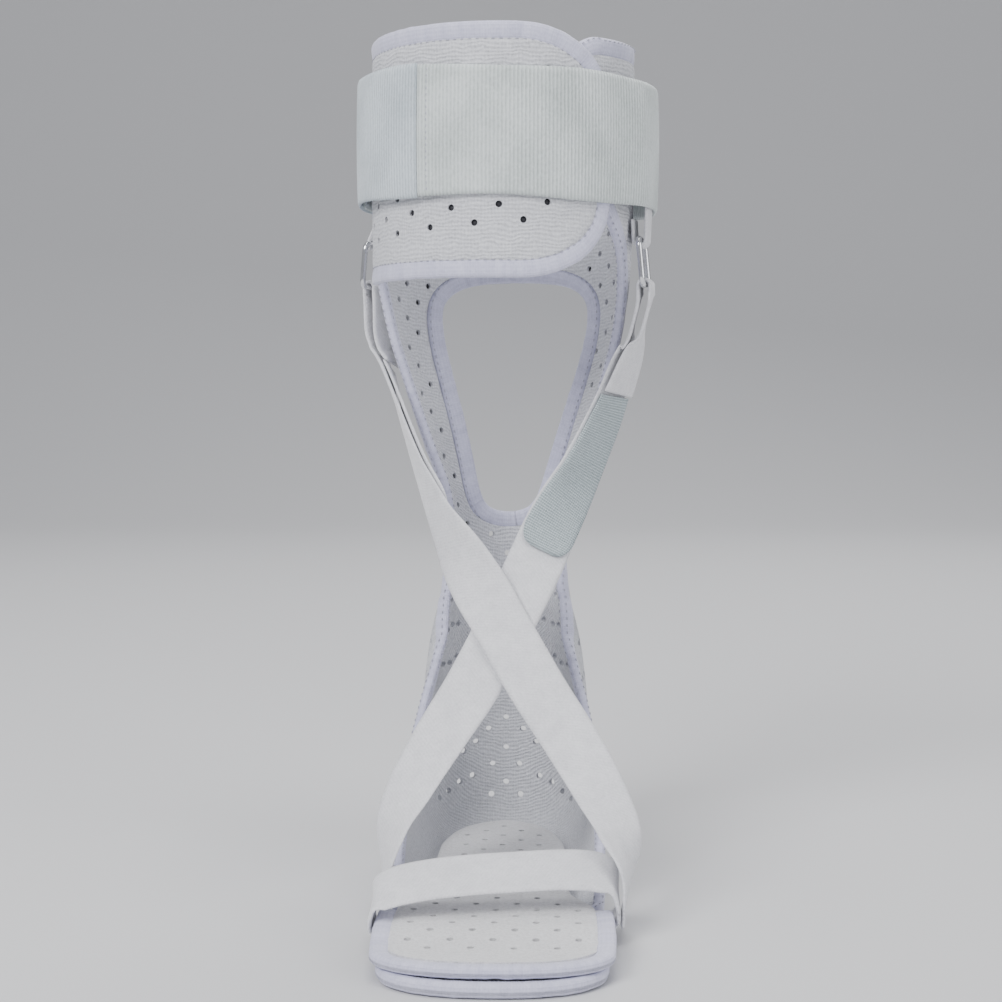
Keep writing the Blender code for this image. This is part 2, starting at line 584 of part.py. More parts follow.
def flap_point(run, height, lift=0.0):
    """Flap middle at a share of its run round the leg and a height above its lower edge."""
    angle = FLAP_ANGLES[0] + run * (FLAP_ANGLES[1] - FLAP_ANGLES[0])
    z = FLAP_TOP - FRONT_RISE - FLAP_HEIGHT + height
    p = cuff_grid(cuff_station(z), -angle, flap_lift(angle) + lift)
    p[..., 2] = z - FRONT_RISE * np.cos(angle)
    return p


def flap_end(height, inset):
    """Share of the flap's run where it ends at a height, with rounded corners."""
    length = (FLAP_ANGLES[1] - FLAP_ANGLES[0]) * CUFF_RADIUS
    tall = FLAP_CORNER - inset
    low = np.clip(1 - (height - inset) / tall, 0, 1)
    high = np.clip(1 - (FLAP_HEIGHT - inset - height) / tall, 0, 1)
    far = np.maximum(low, high)
    return 1 - (inset + (FLAP_CORNER_RUN - inset) * (1 - np.sqrt(1 - far * far))) / length


def flap(collection, fabric, trim):
    edge = BOUND_EDGE
    rise = 0.5 - 0.5 * np.cos(np.linspace(0, np.pi, 11))
    height = edge + rise * (FLAP_HEIGHT - 2 * edge)
    run = np.linspace(0, 1, 19)[None] * flap_end(height, edge)[:, None]
    grid = turned(flap_point(run, np.broadcast_to(height[:, None], run.shape)))
    sheet("front_flap", grid, FLAP_THICK, fabric, collection)
    side = 0.5 - 0.5 * np.cos(np.linspace(0, np.pi, 40))
    side_height = side * FLAP_HEIGHT
    side_run = flap_end(side_height, 0.0)
    level = np.linspace(0, 1, 40)
    run = np.concatenate([level * side_run[0], side_run[1:-1], level[::-1] * side_run[-1]])
    height = np.concatenate([0 * level, side_height[1:-1], 0 * level + FLAP_HEIGHT])
    path = flap_point(run, height)
    normal = unit(flap_point(run, height, 0.001) - path)
    keep = np.linspace(0, 1, 48)
    far = lengths(path[None])[0]
    pick = lambda v: np.stack([np.interp(keep * far[-1], far, v[:, k]) for k in range(3)], -1)
    ahead = turned(pick(path) + 0.01 * pick(normal))
    path = turned(pick(path))
    binding("flap_binding", path, unit(ahead - path), BINDING_WIDTH, FLAP_BINDING, trim, collection,
            closed=False)


def strap_band(name, angles, lift, thick, material, collection, height=STRAP_WIDTH):
    """A band round the calf between two angles, at a lift given along it."""
    z = STRAP_MIDDLE + height * np.array((-0.5, 0.5))
    level = cuff_station(z)
    grid = cuff_grid(level[None], angles[:, None], np.broadcast_to(lift[:, None], (len(angles), 2)))
    around = angles[:, None]
    grid[..., 2] = z[None] - FRONT_RISE * np.cos(around) - STRAP_SLANT * np.sin(around)
    return sheet(name, turned(grid), thick, material, collection)


def straps_round_calf(collection, strap_fabric, tab_fabric):
    """The wide strap from its seam over the front, round the back, to its end under the tab."""
    stops = np.radians((SEAM, 180, 235, 254, 288, 335, 355, 375, 395, STRAP_RETURN))
    lifts = (OVER_FLAP, OVER_FLAP, OVER_FLAP, RIGHT_LIFT, RIGHT_LIFT, AT_BACK + STRAP_EASE,
             AT_BACK, AT_BACK + STRAP_EASE, UNDER_TAB, UNDER_TAB)
    angles = np.radians(np.linspace(SEAM, STRAP_RETURN, 72))
    strap_band("calf_strap", -angles, smooth(angles, stops, lifts), STRAP_THICK, strap_fabric, collection)
    meets = SEAM - np.degrees(GAP / CUFF_RADIUS)
    stops = np.radians((TAB_START, 60, 90, 115, meets))
    lifts = (TAB_LIFT, TAB_LIFT, TAB_LIFT, TAB_LIFT, OVER_FLAP)
    angles = np.radians(np.linspace(TAB_START, meets, 26))
    strap_band("calf_strap_tab", -angles, smooth(angles, stops, lifts), TAB_THICK, tab_fabric, collection,
               height=STRAP_WIDTH + 4 * GAP)


def side_frame(word):
    """Outward and sideways directions and the middle of the cuff wall behind a ring, before turning."""
    angle = RING_ANGLES[word]
    t = cuff_station(RING_HANG)
    point = cuff_grid(np.array(t), np.array(angle), np.array(0.0))
    outward = unit(cuff_grid(np.array(t), np.array(angle), np.array(0.01)) - point)
    return outward, np.cross(np.array((0.0, 0.0, 1.0)), outward), point


def ring(word, metal, collection):
    """A rounded rectangular wire ring that hangs at the side, its long bars level."""
    outward, sideways, point = side_frame(word)
    a = np.radians(np.concatenate([q + np.linspace(0, 90, 7) for q in (0, 90, 180, 270)]))
    straight = TAPE_WIDTH / 2 + 3 * GAP
    level = RING_HEIGHT / 2 - RING_CORNER
    along = RING_CORNER * np.cos(a) + straight * np.repeat((1, -1, -1, 1), 7)
    share = 0.5 - (RING_CORNER * np.sin(a) + level * np.repeat((1, 1, -1, -1), 7)) / RING_HEIGHT
    lift = UPPER_BAR + share * (LOWER_BAR - UPPER_BAR)
    path = point + along[:, None] * sideways + lift[:, None] * outward
    path[:, 2] = RING_HANG - share * RING_HEIGHT
    normal = np.broadcast_to(outward, path.shape)
    binding("ring_" + word, turned(path), normal, RING_WIRE, RING_WIRE, metal, collection)


def tape_sheet(name, path, facing, width, thickness, material, collection):
    """A flat tape along a path, its face along the given directions."""
    tangent = unit(np.gradient(path, axis=0))
    side = unit(np.cross(tangent, facing))
    shares = np.array((-0.5, 0.5)) * width
    grid = path[:, None] + side[:, None] * shares[None, :, None]
    return sheet(name, grid, thickness, material, collection)


def ring_loop(word, fabric, collection):
    """Webbing that comes out under the calf strap, goes round the ring's upper bar and ends above it."""
    outward, sideways, point = side_frame(word)
    under = LOOP_LIFT if word == "left" else RIGHT_LIFT - STRAP_THICK / 2 - GAP - TAPE_THICK / 2
    strap_low = STRAP_MIDDLE - STRAP_WIDTH / 2
    turn = np.linspace(0, np.pi, 9)
    lift = np.concatenate([[under] * 4, UPPER_BAR + BAR_REACH * np.cos(turn), [LOOP_LIFT] * 2])
    z = np.concatenate([
        np.linspace(strap_low + LOOP_HIDDEN, strap_low - LOOP_CLEAR, 4),
        RING_HANG - BAR_REACH * np.sin(turn),
        [RING_HANG + LOOP_END / 2, RING_HANG + LOOP_END],
    ])
    shares = np.linspace(-0.5, 0.5, 5) * TAPE_WIDTH
    flat = point + lift[:, None, None] * outward + shares[None, :, None] * sideways
    flat[..., 2] = z[:, None]
    around = RING_ANGLES[word] + np.linspace(-0.5, 0.5, 5) * TAPE_WIDTH / (CUFF_RADIUS + under)
    bent = cuff_grid(cuff_station(z)[:, None], around[None, ::-1], lift[:, None] + 0 * around[None])
    bent[..., 2] = z[:, None]
    share = np.clip((z - RING_HANG) / (strap_low - LOOP_CLEAR - RING_HANG), 0, 1)[:, None, None]
    if np.linalg.norm(bent[0, 0] - flat[0, 0]) > np.linalg.norm(bent[0, -1] - flat[0, 0]):
        bent = bent[:, ::-1]
    grid = flat + (bent - flat) * share
    sheet("ring_loop_" + word, turned(grid), TAPE_THICK, fabric, collection)


def cross_path(table_rows, side):
    """Middle of a crossed strap from the sole to just under its ring, with its face directions."""
    rows = table(CROSS_COLUMNS, table_rows)
    index = np.arange(len(table_rows))
    fine = np.linspace(0, index[-1], 50)
    x = side * ANCHOR_REACH * smooth(fine, index, rows["x"])
    y = FOOT_LENGTH * smooth(fine, index, rows["y"])
    z = BRACE_HEIGHT * smooth(fine, index, rows["z"])
    a = np.radians(smooth(fine, index, rows["facing"])) * side
    p = np.radians(smooth(fine, index, rows["pitch"]))
    facing = np.stack([np.sin(a) * np.cos(p), -np.cos(a) * np.cos(p), np.sin(p)], -1)
    return np.stack([x, y, z], -1), facing


def softened(values, first, times=6):
    """Evens out directions along a path from a given row on."""
    values = values.copy()
    for _ in range(times):
        middle = unit(values[first - 1:-2] + values[first:-1] + values[first + 1:])
        values[first:-1] = middle
    return values


def cross_strap(name, rows, side, ring_word, back, free_end, hook_end, tape, hook, collection):
    """A crossed strap, its turn over the ring's lower bar, its return, and the hook tab on its end.

    back is 1 where it returns on its outer face and -1 where it returns on the inner one.
    """
    path, facing = cross_path(rows, side)
    outward, sideways, point = side_frame(ring_word)
    bar = point + LOWER_BAR * outward
    bar[2] = RING_HANG - RING_HEIGHT
    turn = np.linspace(np.pi, 0, 9)[:, None]
    over = bar + back * np.cos(turn) * BAR_REACH * outward + np.sin(turn) * BAR_REACH * np.array((0, 0, 1.0))
    last = over[:1] - (0, 0, 2 * BAR_REACH)
    blend = np.linspace(0, 1, 6)[1:-1, None]
    main = np.vstack([path, path[-1] + blend * (last - path[-1]), last, over[:1] - (0, 0, BAR_REACH / 2)])
    face = np.vstack([facing, np.broadcast_to(outward, (len(main) - len(facing), 3))])
    face = softened(face, len(facing) - 6)
    gap = TAPE_THICK + 3 * GAP
    step = np.arange(len(main))[::-1]
    spread = gap + (2 * BAR_REACH - gap) * np.exp(-((step / 9.0) ** 2))
    returning = (main + back * face * spread[:, None])[::-1]
    z = main[::-1, 2]
    keep = z > free_end
    whole = np.vstack([main, over, returning[keep]])
    tangent = unit(np.gradient(whole, axis=0))
    across = np.broadcast_to(sideways, (len(over), 3))
    n = len(main)
    start_side = unit(np.cross(tangent[:n], face))
    if (start_side[-1] * sideways).sum() < 0:
        across = -across
    end_side = -unit(np.cross(tangent[n + len(over):], face[::-1][keep]))
    width = np.vstack([start_side, across, end_side])
    ahead = turned(whole + 0.01 * width)
    placed = turned(whole)
    shares = np.array((-0.5, 0.5)) * TAPE_WIDTH
    grid = placed[:, None] + unit(ahead - placed)[:, None] * shares[None, :, None]
    sheet(name, grid, TAPE_THICK, tape, collection)
    keep = (z < free_end - 2 * GAP) & (z > hook_end)
    hooked = (main + back * face * (gap - GAP))[::-1][keep]
    ahead = turned(hooked + 0.01 * face[::-1][keep])
    placed = turned(hooked)
    word = "hook_tab_" + ring_word
    tape_sheet(word, placed, ahead - placed, TAPE_WIDTH, HOOK_THICK, hook, collection)


def insole_half(y_share, inset):
    rows = table(INSOLE_COLUMNS, INSOLE_SHAPE)
    return INSOLE_WIDTH * smooth(y_share, rows["y"], rows["half"]) - inset


def insole_level(y):
    """Height of the insole's middle, which eases down towards the toe."""
    share = np.clip((FOOT_SECTIONS[0][0] * FOOT_LENGTH + DIP_FROM - y) / DIP_LENGTH, 0, 1)
    return INSOLE_MIDDLE - INSOLE_DIP * share * share * (3 - 2 * share)


def insole_grid(y_share, across, inset):
    """Insole points, rows bowed at the toe."""
    rows = table(INSOLE_COLUMNS, INSOLE_SHAPE)
    half = insole_half(y_share, inset)
    bow = FOOT_LENGTH * smooth(y_share, rows["y"], rows["bow"])
    arc = 1 - (1 - np.abs(across[None]) ** TOE_ROUND) ** (1 / TOE_ROUND)
    x = half[:, None] * across[None]
    y = FOOT_LENGTH * y_share[:, None] + bow[:, None] * arc
    return turned(np.stack([x, y, insole_level(y)], -1))


def insole(collection, top_fabric, trim):
    edge = BOUND_EDGE
    first, last = INSOLE_SHAPE[0][0] + edge / FOOT_LENGTH, INSOLE_SHAPE[-1][0]
    y = first + (last - first) * np.sin(np.linspace(0, np.pi / 2, 22))
    across = np.sin(np.linspace(-np.pi / 2, np.pi / 2, 9))
    sheet("insole", insole_grid(y, across, edge), INSOLE_THICK, top_fabric, collection)
    y = np.linspace(INSOLE_SHAPE[0][0], INSOLE_BOUND, 40)
    grid = insole_grid(y, np.sin(np.linspace(-np.pi / 2, np.pi / 2, 81)), 0.0)
    path = np.vstack([grid[::-1, 0], grid[0, 1:-1], grid[:, -1]])
    far = lengths(path[None])[0]
    want = np.linspace(0, far[-1], 46)
    path = np.stack([np.interp(want, far, path[:, k]) for k in range(3)], -1)
    normal = np.broadcast_to(np.array((0.0, 0.0, 1.0)), path.shape)
    binding("insole_binding", path, normal, BINDING_WIDTH, BINDING_THICK, trim, collection, closed=False)


def forefoot_strap(collection, tape):
    """A closed loop of tape: over the foot in an arch, round the insole's edges and under it."""
    reach = FOREFOOT_REACH
    low = INSOLE_MIDDLE - BINDING_THICK / 2 - GAP - TAPE_THICK / 2
    base = INSOLE_MIDDLE + BINDING_THICK / 2
    a = np.linspace(0, np.pi, 33)
    rise = np.abs(np.sin(a)) ** ARCH_TOP
    x = reach * np.sign(np.cos(a)) * np.abs(np.cos(a)) ** ARCH_SIDES * (1 - FOREFOOT_INWARD * rise)
    z = base + FOREFOOT_ARCH * rise * (1 + FOREFOOT_LEAN * np.cos(a))
    corner = (base - low) / 2
    b = np.linspace(0, np.pi / 2, 5)[:-1]
    left = np.stack([-reach + corner * (1 - np.cos(b)), low + corner * (1 - np.sin(b))], -1)
    right = (left * (-1, 1))[::-1]
    flat = np.stack([np.linspace(-reach + corner, reach - corner, 14), np.full(14, low)], -1)
    loop = np.vstack([np.stack([x, z], -1), left, flat, right])
    tip = np.radians(FOREFOOT_TIP) * np.clip(2 * (loop[:, 1] - base) / FOREFOOT_ARCH, 0, 1)
    y = FOREFOOT_Y + FOREFOOT_SLANT * loop[:, 0] / reach
    path = np.stack([loop[:, 0], y, loop[:, 1]], -1)
    along = np.stack([np.zeros_like(tip), np.cos(tip), np.sin(tip)], -1)
    tangent = unit((np.roll(path, -1, 0) - np.roll(path, 1, 0)) * (1, 0, 1))
    along = unit(along - (along * tangent).sum(-1, keepdims=True) * tangent)
    shares = np.array((-0.5, 0.5)) * TAPE_WIDTH
    grid = turned(path[:, None] + along[:, None] * shares[None, :, None])
    rows, columns = grid.shape[:2]
    obj = mesh_object("forefoot_strap", grid.reshape(-1, 3), grid_faces(rows, columns, True), tape, collection)
    solid = obj.modifiers.new("Thickness", "SOLIDIFY")
    solid.thickness = TAPE_THICK
    solid.offset = 0.0
    solid.use_even_offset = True


def main():
    for obj in list(bpy.data.objects):
        bpy.data.objects.remove(obj)
    brace = bpy.data.collections.new("foot_drop_brace")
    cutters = bpy.data.collections.new("cutters")
    for collection in (brace, cutters):
        bpy.context.scene.collection.children.link(collection)
    knit = new_material("knit_white", (0.74, 0.75, 0.78), 0.9)
    trim = new_material("binding_lavender", (0.60, 0.60, 0.74), 0.75)
    guide = new_material("guide", (0.5, 0.5, 0.5), 0.5)
    shell(brace, cutters, knit, guide)
    shell_bindings(brace, trim)
    strap = new_material("loop_fabric", (0.70, 0.74, 0.73), 0.9)
    hook = new_material("hook_fabric", (0.55, 0.62, 0.64), 0.8)
    tape = new_material("brushed_tape", (0.78, 0.78, 0.80), 0.9)
    metal = new_material("chrome", (0.75, 0.76, 0.78), 0.15, 1.0)
    fleece = new_material("insole_fleece", (0.80, 0.80, 0.80), 0.95)
    flap(brace, knit, trim)
    straps_round_calf(brace, strap, hook)
    for word in ("left", "right"):
        ring(word, metal, brace)
        ring_loop(word, tape, brace)
    ends = (RING_HANG - FRONT_RETURN, RING_HANG - FRONT_RETURN - FRONT_HOOK)
    cross_strap("cross_strap_front", CROSS_FRONT, 1, "left", -1, *ends, tape, hook, brace)
    ends = (RING_HANG - BACK_RETURN, RING_HANG - BACK_RETURN - BACK_HOOK)
    cross_strap("cross_strap_back", CROSS_BACK, -1, "right", 1, *ends, tape, hook, brace)
    insole(brace, fleece, trim)
    forefoot_strap(brace, tape)


main()
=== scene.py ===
# %% [markdown]
# # Dressing a foot drop brace
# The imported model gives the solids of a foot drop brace: a thin padded shell that runs from under
# the foot up the calf, its edge tapes, a front flap, a calf strap and crossed straps. This script
# builds each of those pieces again at the detail of real cloth, in the same place, and gives it a
# material. The shapes are functions of two parameters worked out with numpy, because cloth panels,
# tapes and webbing are all surfaces: a middle surface with a thickness, or a section that is
# carried along a path.

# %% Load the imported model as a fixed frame
import bpy
import numpy as np
from mathutils import Matrix


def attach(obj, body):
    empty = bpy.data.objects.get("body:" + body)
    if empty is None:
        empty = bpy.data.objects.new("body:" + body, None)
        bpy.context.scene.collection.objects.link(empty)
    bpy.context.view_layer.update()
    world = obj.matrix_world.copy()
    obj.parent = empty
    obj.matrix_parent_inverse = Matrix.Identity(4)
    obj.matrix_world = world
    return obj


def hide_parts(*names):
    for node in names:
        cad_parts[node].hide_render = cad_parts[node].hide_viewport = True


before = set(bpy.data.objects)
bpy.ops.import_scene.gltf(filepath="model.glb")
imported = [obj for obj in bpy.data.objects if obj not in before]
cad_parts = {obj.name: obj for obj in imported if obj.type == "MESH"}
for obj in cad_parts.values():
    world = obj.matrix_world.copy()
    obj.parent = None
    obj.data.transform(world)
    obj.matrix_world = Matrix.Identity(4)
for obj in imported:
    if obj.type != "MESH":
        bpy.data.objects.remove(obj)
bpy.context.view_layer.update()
print("nodes:", ", ".join(sorted(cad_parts)))

# %% [markdown]
# ## The camera
# The photograph looks at the brace from the front, a little from above and from about 0.9 m.
# A long lens keeps the uprights nearly parallel. The camera is set up first.

# %% The camera at the photograph's angle
CAMERA_TURN = np.radians(1.0)
CAMERA_PITCH = np.radians(4.73)
CAMERA_DISTANCE = 0.8925
CAMERA_HEIGHT = 0.2405
CAMERA_ASIDE = -0.0012
CAMERA_LENS = 71.1


def make_camera():
    """Camera on a circle round the ankle axis, its axes worked out from turn and pitch."""
    right = np.array((np.cos(CAMERA_TURN), np.sin(CAMERA_TURN), 0.0))
    level = np.array((-np.sin(CAMERA_TURN), np.cos(CAMERA_TURN), 0.0))
    ahead = level * np.cos(CAMERA_PITCH) - np.array((0, 0, np.sin(CAMERA_PITCH)))
    up = np.cross(right, ahead)
    place = -CAMERA_DISTANCE * level + CAMERA_ASIDE * right + np.array((0, 0, CAMERA_HEIGHT))
    data = bpy.data.cameras.new("camera")
    data.lens = CAMERA_LENS
    camera = bpy.data.objects.new("camera", data)
    matrix = np.eye(4)
    matrix[:3] = np.stack([right, up, -ahead, place], 1)
    camera.matrix_world = Matrix(matrix.tolist())
    bpy.context.scene.collection.objects.link(camera)
    bpy.context.scene.camera = camera
    return place


print("camera at", make_camera().round(3))

# %% [markdown]
# ## Sizes
# Named sizes, in metres. A table holds shares of the driving
# sizes, so a brace of another size keeps its proportions.

# %% Driving sizes
FOOT_LENGTH = 0.2340       # toe edge to the back of the heel
BRACE_HEIGHT = 0.3710      # floor to the top edge
ANKLE_HEIGHT = 0.1200      # floor to the narrowest place
SOLE_WIDTH = 0.0800        # between the middles of the edge bindings
CUFF_WIDTH = 0.1120        # calf part, middle of one wall to the other
CUFF_DEPTH = 0.1090        # calf part, front to back
HEEL_BACK = 0.0470         # from the ankle axis to the middle of the heel wall
PANEL = 0.0044             # padded panel with its fabric
GAP = 0.0003               # clearance between pieces that touch
BINDING_WIDTH = 0.0080     # folded tape along an edge
BINDING_THICK = 0.0050
WINDOW_HEIGHT = 0.1165     # opening in the back, between the middles of its binding
WINDOW_WIDTH = 0.0770
WINDOW_DROP = 0.1010       # from the brace's top edge down to that opening
CORNER = 0.0150            # rounding of the top corners of the calf part
TWIST = -7.5               # degrees that the calf part is turned from the foot
TOE_TURN = -0.6            # degrees that the foot part is turned
FLAP_THICK = 0.0038
FLAP_DROP = 0.0042         # from the brace's top edge down to the front flap's, at the front
FLAP_HEIGHT = 0.0975
STRAP_WIDTH = 0.0537       # wide calf strap
STRAP_SLANT = 0.0014       # its right side hangs this much lower, its left side higher
STRAP_THICK = 0.0018
STRAP_DROP = 0.0474        # from the brace's top edge down to the middle of the calf strap
TAB_THICK = 0.0015
TAPE_WIDTH = 0.0250        # crossed straps and forefoot strap
TAPE_THICK = 0.0016
RING_WIRE = 0.0026         # wire diameter
RING_HEIGHT = 0.0200       # between the middles of its bars
RING_DROP = 0.0878         # from the brace's top edge down to a ring's upper bar
INSOLE_WIDTH = 0.0946      # with its binding
INSOLE_THICK = 0.0044
HOOK_THICK = 0.0014
INSOLE_DIP = 0.0022        # the insole's toe end lies this much lower, on the sole's edge tape
DIP_FROM = 0.0468          # from the toe edge back to where the dip starts
DIP_LENGTH = 0.0200
INSOLE_BOUND = -0.5000     # share of FOOT_LENGTH where the insole's binding ends
FOREFOOT_BACK = 0.0680     # from the sole's toe edge back to the middle of the forefoot strap
FOREFOOT_ARCH = 0.0145     # rise of the forefoot strap above the insole
FOREFOOT_SLANT = 0.0070    # its right side lies this much nearer the heel
FOREFOOT_LEAN = 0.18       # share by which the arch is higher on the right and lower on the left
ARCH_SIDES = 0.75          # roundness of the arch: 1 is an ellipse, less is squarer
ARCH_TOP = 0.35
FOREFOOT_INWARD = 0.05     # share by which the arch's sides lean in
FOREFOOT_TIP = 24.0        # degrees that its face leans forward on top
SEAM = 155.0               # degrees round the leg from the back, where the calf strap is sewn down
STRAP_RETURN = 455.0       # where the calf strap ends under its tab
TAB_START = 40.0
RING_ANGLE_LEFT = -68.0    # degrees round the leg from the back
RING_ANGLE_RIGHT = 90.0
RING_CORNER = 0.0035       # rounding of the ring's corners
RING_SLOPE = 0.0020        # the lower bar stands out this much more than the upper one
FLAP_END = 231.0           # degrees round the leg where the flap ends
FLAP_CORNER = 0.0300       # height of the flap's rounded corners
FLAP_CORNER_RUN = 0.0360   # their length round the leg
FRONT_RISE = 0.0025        # rise of the flap and the calf strap from the front to the back
RIGHT_LIFT = 0.0118        # the calf strap stands off the shell's right side by this much
FRONT_RETURN = 0.0552      # from a ring's upper bar down to where the returned strap end stops
BACK_RETURN = 0.0682
FRONT_HOOK = 0.0680        # height of the hook tab sewn to that end
BACK_HOOK = 0.0700
LOOP_HIDDEN = 0.0140       # length of ring webbing under the calf strap
LOOP_CLEAR = 0.0012        # where that webbing leaves the strap
LOOP_END = 0.0085          # height of its sewn end above the ring's upper bar
TOE_ROUND = 2.4            # roundness of the toe outline
TWIST_FROM = 0.9           # share of ANKLE_HEIGHT where the turn of the calf part starts
TWIST_TO = 0.72            # share of BRACE_HEIGHT where it ends
WALL_BLEND = 0.0100        # length over which the edge tape turns from the sole to the side walls
FLAP_OVER_FROM = 100.0     # degrees round the leg where the flap starts to lift off the shell
FLAP_OVER_TO = 186.0
STRAP_EASE = 0.0004        # slack of the calf strap beside the middle of the back
SOLE_PRESS = 0.0007        # rise of the sole's sides that standing presses flat

# Sizes that follow
PANEL_MIDDLE = PANEL / 2
CUFF_RADIUS = (CUFF_WIDTH + CUFF_DEPTH) / 4
BOUND_EDGE = BINDING_WIDTH / 2 + GAP
FLAP_BINDING = FLAP_THICK + GAP
WINDOW_TOP = BRACE_HEIGHT - WINDOW_DROP
FLAP_TOP = BRACE_HEIGHT - FLAP_DROP
STRAP_MIDDLE = BRACE_HEIGHT - STRAP_DROP
RING_HANG = BRACE_HEIGHT - RING_DROP
FLAP_LIFT = BINDING_THICK / 2 + FLAP_BINDING / 2 + 3 * GAP
OVER_FLAP = FLAP_LIFT + FLAP_BINDING / 2 + GAP + STRAP_THICK / 2
LOOP_LIFT = PANEL_MIDDLE + GAP + TAPE_THICK / 2
UNDER_TAB = LOOP_LIFT + TAPE_THICK / 2 + 2 * GAP + STRAP_THICK / 2
TAB_LIFT = UNDER_TAB + STRAP_THICK / 2 + GAP + TAB_THICK / 2
AT_BACK = PANEL_MIDDLE + GAP + STRAP_THICK / 2
BAR_REACH = RING_WIRE / 2 + 1.5 * GAP + TAPE_THICK / 2
UPPER_BAR = PANEL_MIDDLE + TAPE_THICK + 3 * GAP + RING_WIRE / 2
LOWER_BAR = UPPER_BAR + RING_SLOPE
INSOLE_MIDDLE = BINDING_THICK * 1.5 + 5 * GAP + TAPE_THICK
UP = np.array((0.0, 0.0, 1.0))

# %% [markdown]
# ## The shell's sections
# A stiff brace like this is a trough: across the foot it is a flat U, round the calf half a tube.
# Each row of the table is one section, with where its bottom and its edges lie, how wide and how
# square it is. Monotone cubics run through the rows, so that flat stretches stay flat.

# %% Tables of sections
FOOT_COLUMNS = ("y", "z", "edge_y", "edge_z", "half", "square", "pinch", "bow")
FOOT_SECTIONS = (
    (-0.7970, 0.000, -0.7970, 0.000, 0.503, 4.0, 0.00, 0.106),
    (-0.7200, 0.000, -0.7200, 0.000, 0.508, 4.0, 0.00, 0.068),
    (-0.6300, 0.000, -0.6300, 0.000, 0.510, 4.0, 0.00, 0.035),
    (-0.5400, 0.000, -0.5400, 0.000, 0.510, 4.0, 0.00, 0.010),
    (-0.4300, 0.000, -0.4300, 0.000, 0.515, 3.4, 0.00, 0.000),
    (-0.3850, 0.000, -0.3830, 0.022, 0.520, 3.4, 0.00, 0.000),
    (-0.3450, 0.000, -0.3400, 0.072, 0.528, 3.8, 0.00, 0.000),
    (-0.2900, 0.000, -0.2800, 0.148, 0.534, 4.4, 0.00, 0.000),
    (-0.1950, 0.000, -0.1750, 0.262, 0.536, 5.0, 0.00, 0.000),
    (-0.0850, 0.000, -0.0700, 0.410, 0.532, 5.0, 0.04, 0.000),
    (0.0450, 0.000, 0.0150, 0.585, 0.530, 4.4, 0.14, 0.000),
    (0.1350, 0.020, 0.0500, 0.725, 0.532, 3.4, 0.25, 0.000),
    (0.1790, 0.115, 0.0700, 0.845, 0.532, 2.8, 0.32, 0.000),
    (0.1930, 0.285, 0.0820, 0.955, 0.516, 2.4, 0.32, 0.000),
)
# Calf sections, ankle to top. y and edge_y are shares of HEEL_BACK, z and edge_z shares of
# BRACE_HEIGHT, half a share of CUFF_WIDTH, wrap_left and wrap_right degrees round the leg.
CALF_COLUMNS = ("y", "z", "edge_y", "edge_z", "half", "square", "pinch", "wrap_left", "wrap_right")
CALF_SECTIONS = (
    (0.975, 0.170, 0.420, 0.334, 0.326, 2.3, 0.27, 90.0, 90.0),
    (0.985, 0.250, 0.470, 0.364, 0.264, 2.2, 0.12, 90.0, 90.0),
    (0.995, 0.330, 0.490, 0.405, 0.226, 2.1, 0.00, 90.0, 90.0),
    (1.010, 0.400, 0.470, 0.450, 0.248, 2.0, 0.00, 90.0, 90.0),
    (1.030, 0.485, 0.370, 0.518, 0.325, 2.0, 0.00, 90.0, 90.0),
    (1.050, 0.570, 0.190, 0.590, 0.398, 2.0, 0.00, 90.0, 90.0),
    (1.065, 0.650, 0.020, 0.664, 0.462, 2.0, 0.00, 90.0, 92.0),
    (1.080, 0.725, -0.090, 0.736, 0.492, 2.0, 0.00, 92.0, 100.0),
    (1.095, 0.810, -0.075, 0.822, 0.500, 2.0, 0.00, 96.0, 128.0),
    (1.105, 0.900, -0.062, 0.900, 0.500, 2.0, 0.00, 97.0, 141.0),
    (1.115, 0.978, -0.050, 0.978, 0.500, 2.0, 0.00, 97.0, 142.0),
)
# Window outline: z a share of WINDOW_HEIGHT, half a share of WINDOW_WIDTH.
WINDOW_COLUMNS = ("z", "half")
WINDOW_SHAPE = (
    (0.000, 0.000), (0.012, 0.110), (0.050, 0.190), (0.120, 0.235), (0.240, 0.278),
    (0.400, 0.340), (0.560, 0.410), (0.720, 0.475), (0.850, 0.498), (0.925, 0.460),
    (0.975, 0.360), (0.996, 0.200), (1.000, 0.000),
)
FOREFOOT_REACH = INSOLE_WIDTH / 2 + 3 * GAP + TAPE_THICK / 2
ANCHOR_REACH = FOREFOOT_REACH + GAP + TAPE_THICK
# Crossed straps from one side of the sole to the ring on the other: x is a share of ANCHOR_REACH
# counted towards the side that the strap starts on, y and z shares of FOOT_LENGTH and BRACE_HEIGHT,
# facing is where its face looks, in degrees from -Y towards that side, and pitch how far up.
CROSS_COLUMNS = ("x", "y", "z", "facing", "pitch")
CROSS_FRONT = (
    (0.9950, -0.4680, 0.0130, 90.0, 0.0),
    (1.0350, -0.4600, 0.0600, 82.0, 4.0),
    (0.9850, -0.4320, 0.1030, 46.0, 14.0),
    (0.8200, -0.3760, 0.1470, 28.0, 26.0),
    (0.5850, -0.3160, 0.1960, 16.0, 32.0),
    (0.3200, -0.2560, 0.2460, 8.0, 36.0),
    (0.0000, -0.1710, 0.3130, 0.0, 38.0),
    (-0.2800, -0.1070, 0.3720, -30.0, 18.0),
    (-0.5500, -0.0430, 0.4290, -60.0, -4.0),
    (-0.7350, 0.0050, 0.4800, -72.0, -8.0),
    (-0.9650, 0.0300, 0.5600, -82.0, -6.0),
    (-1.1650, 0.0600, 0.6300, -94.0, 0.0),
)
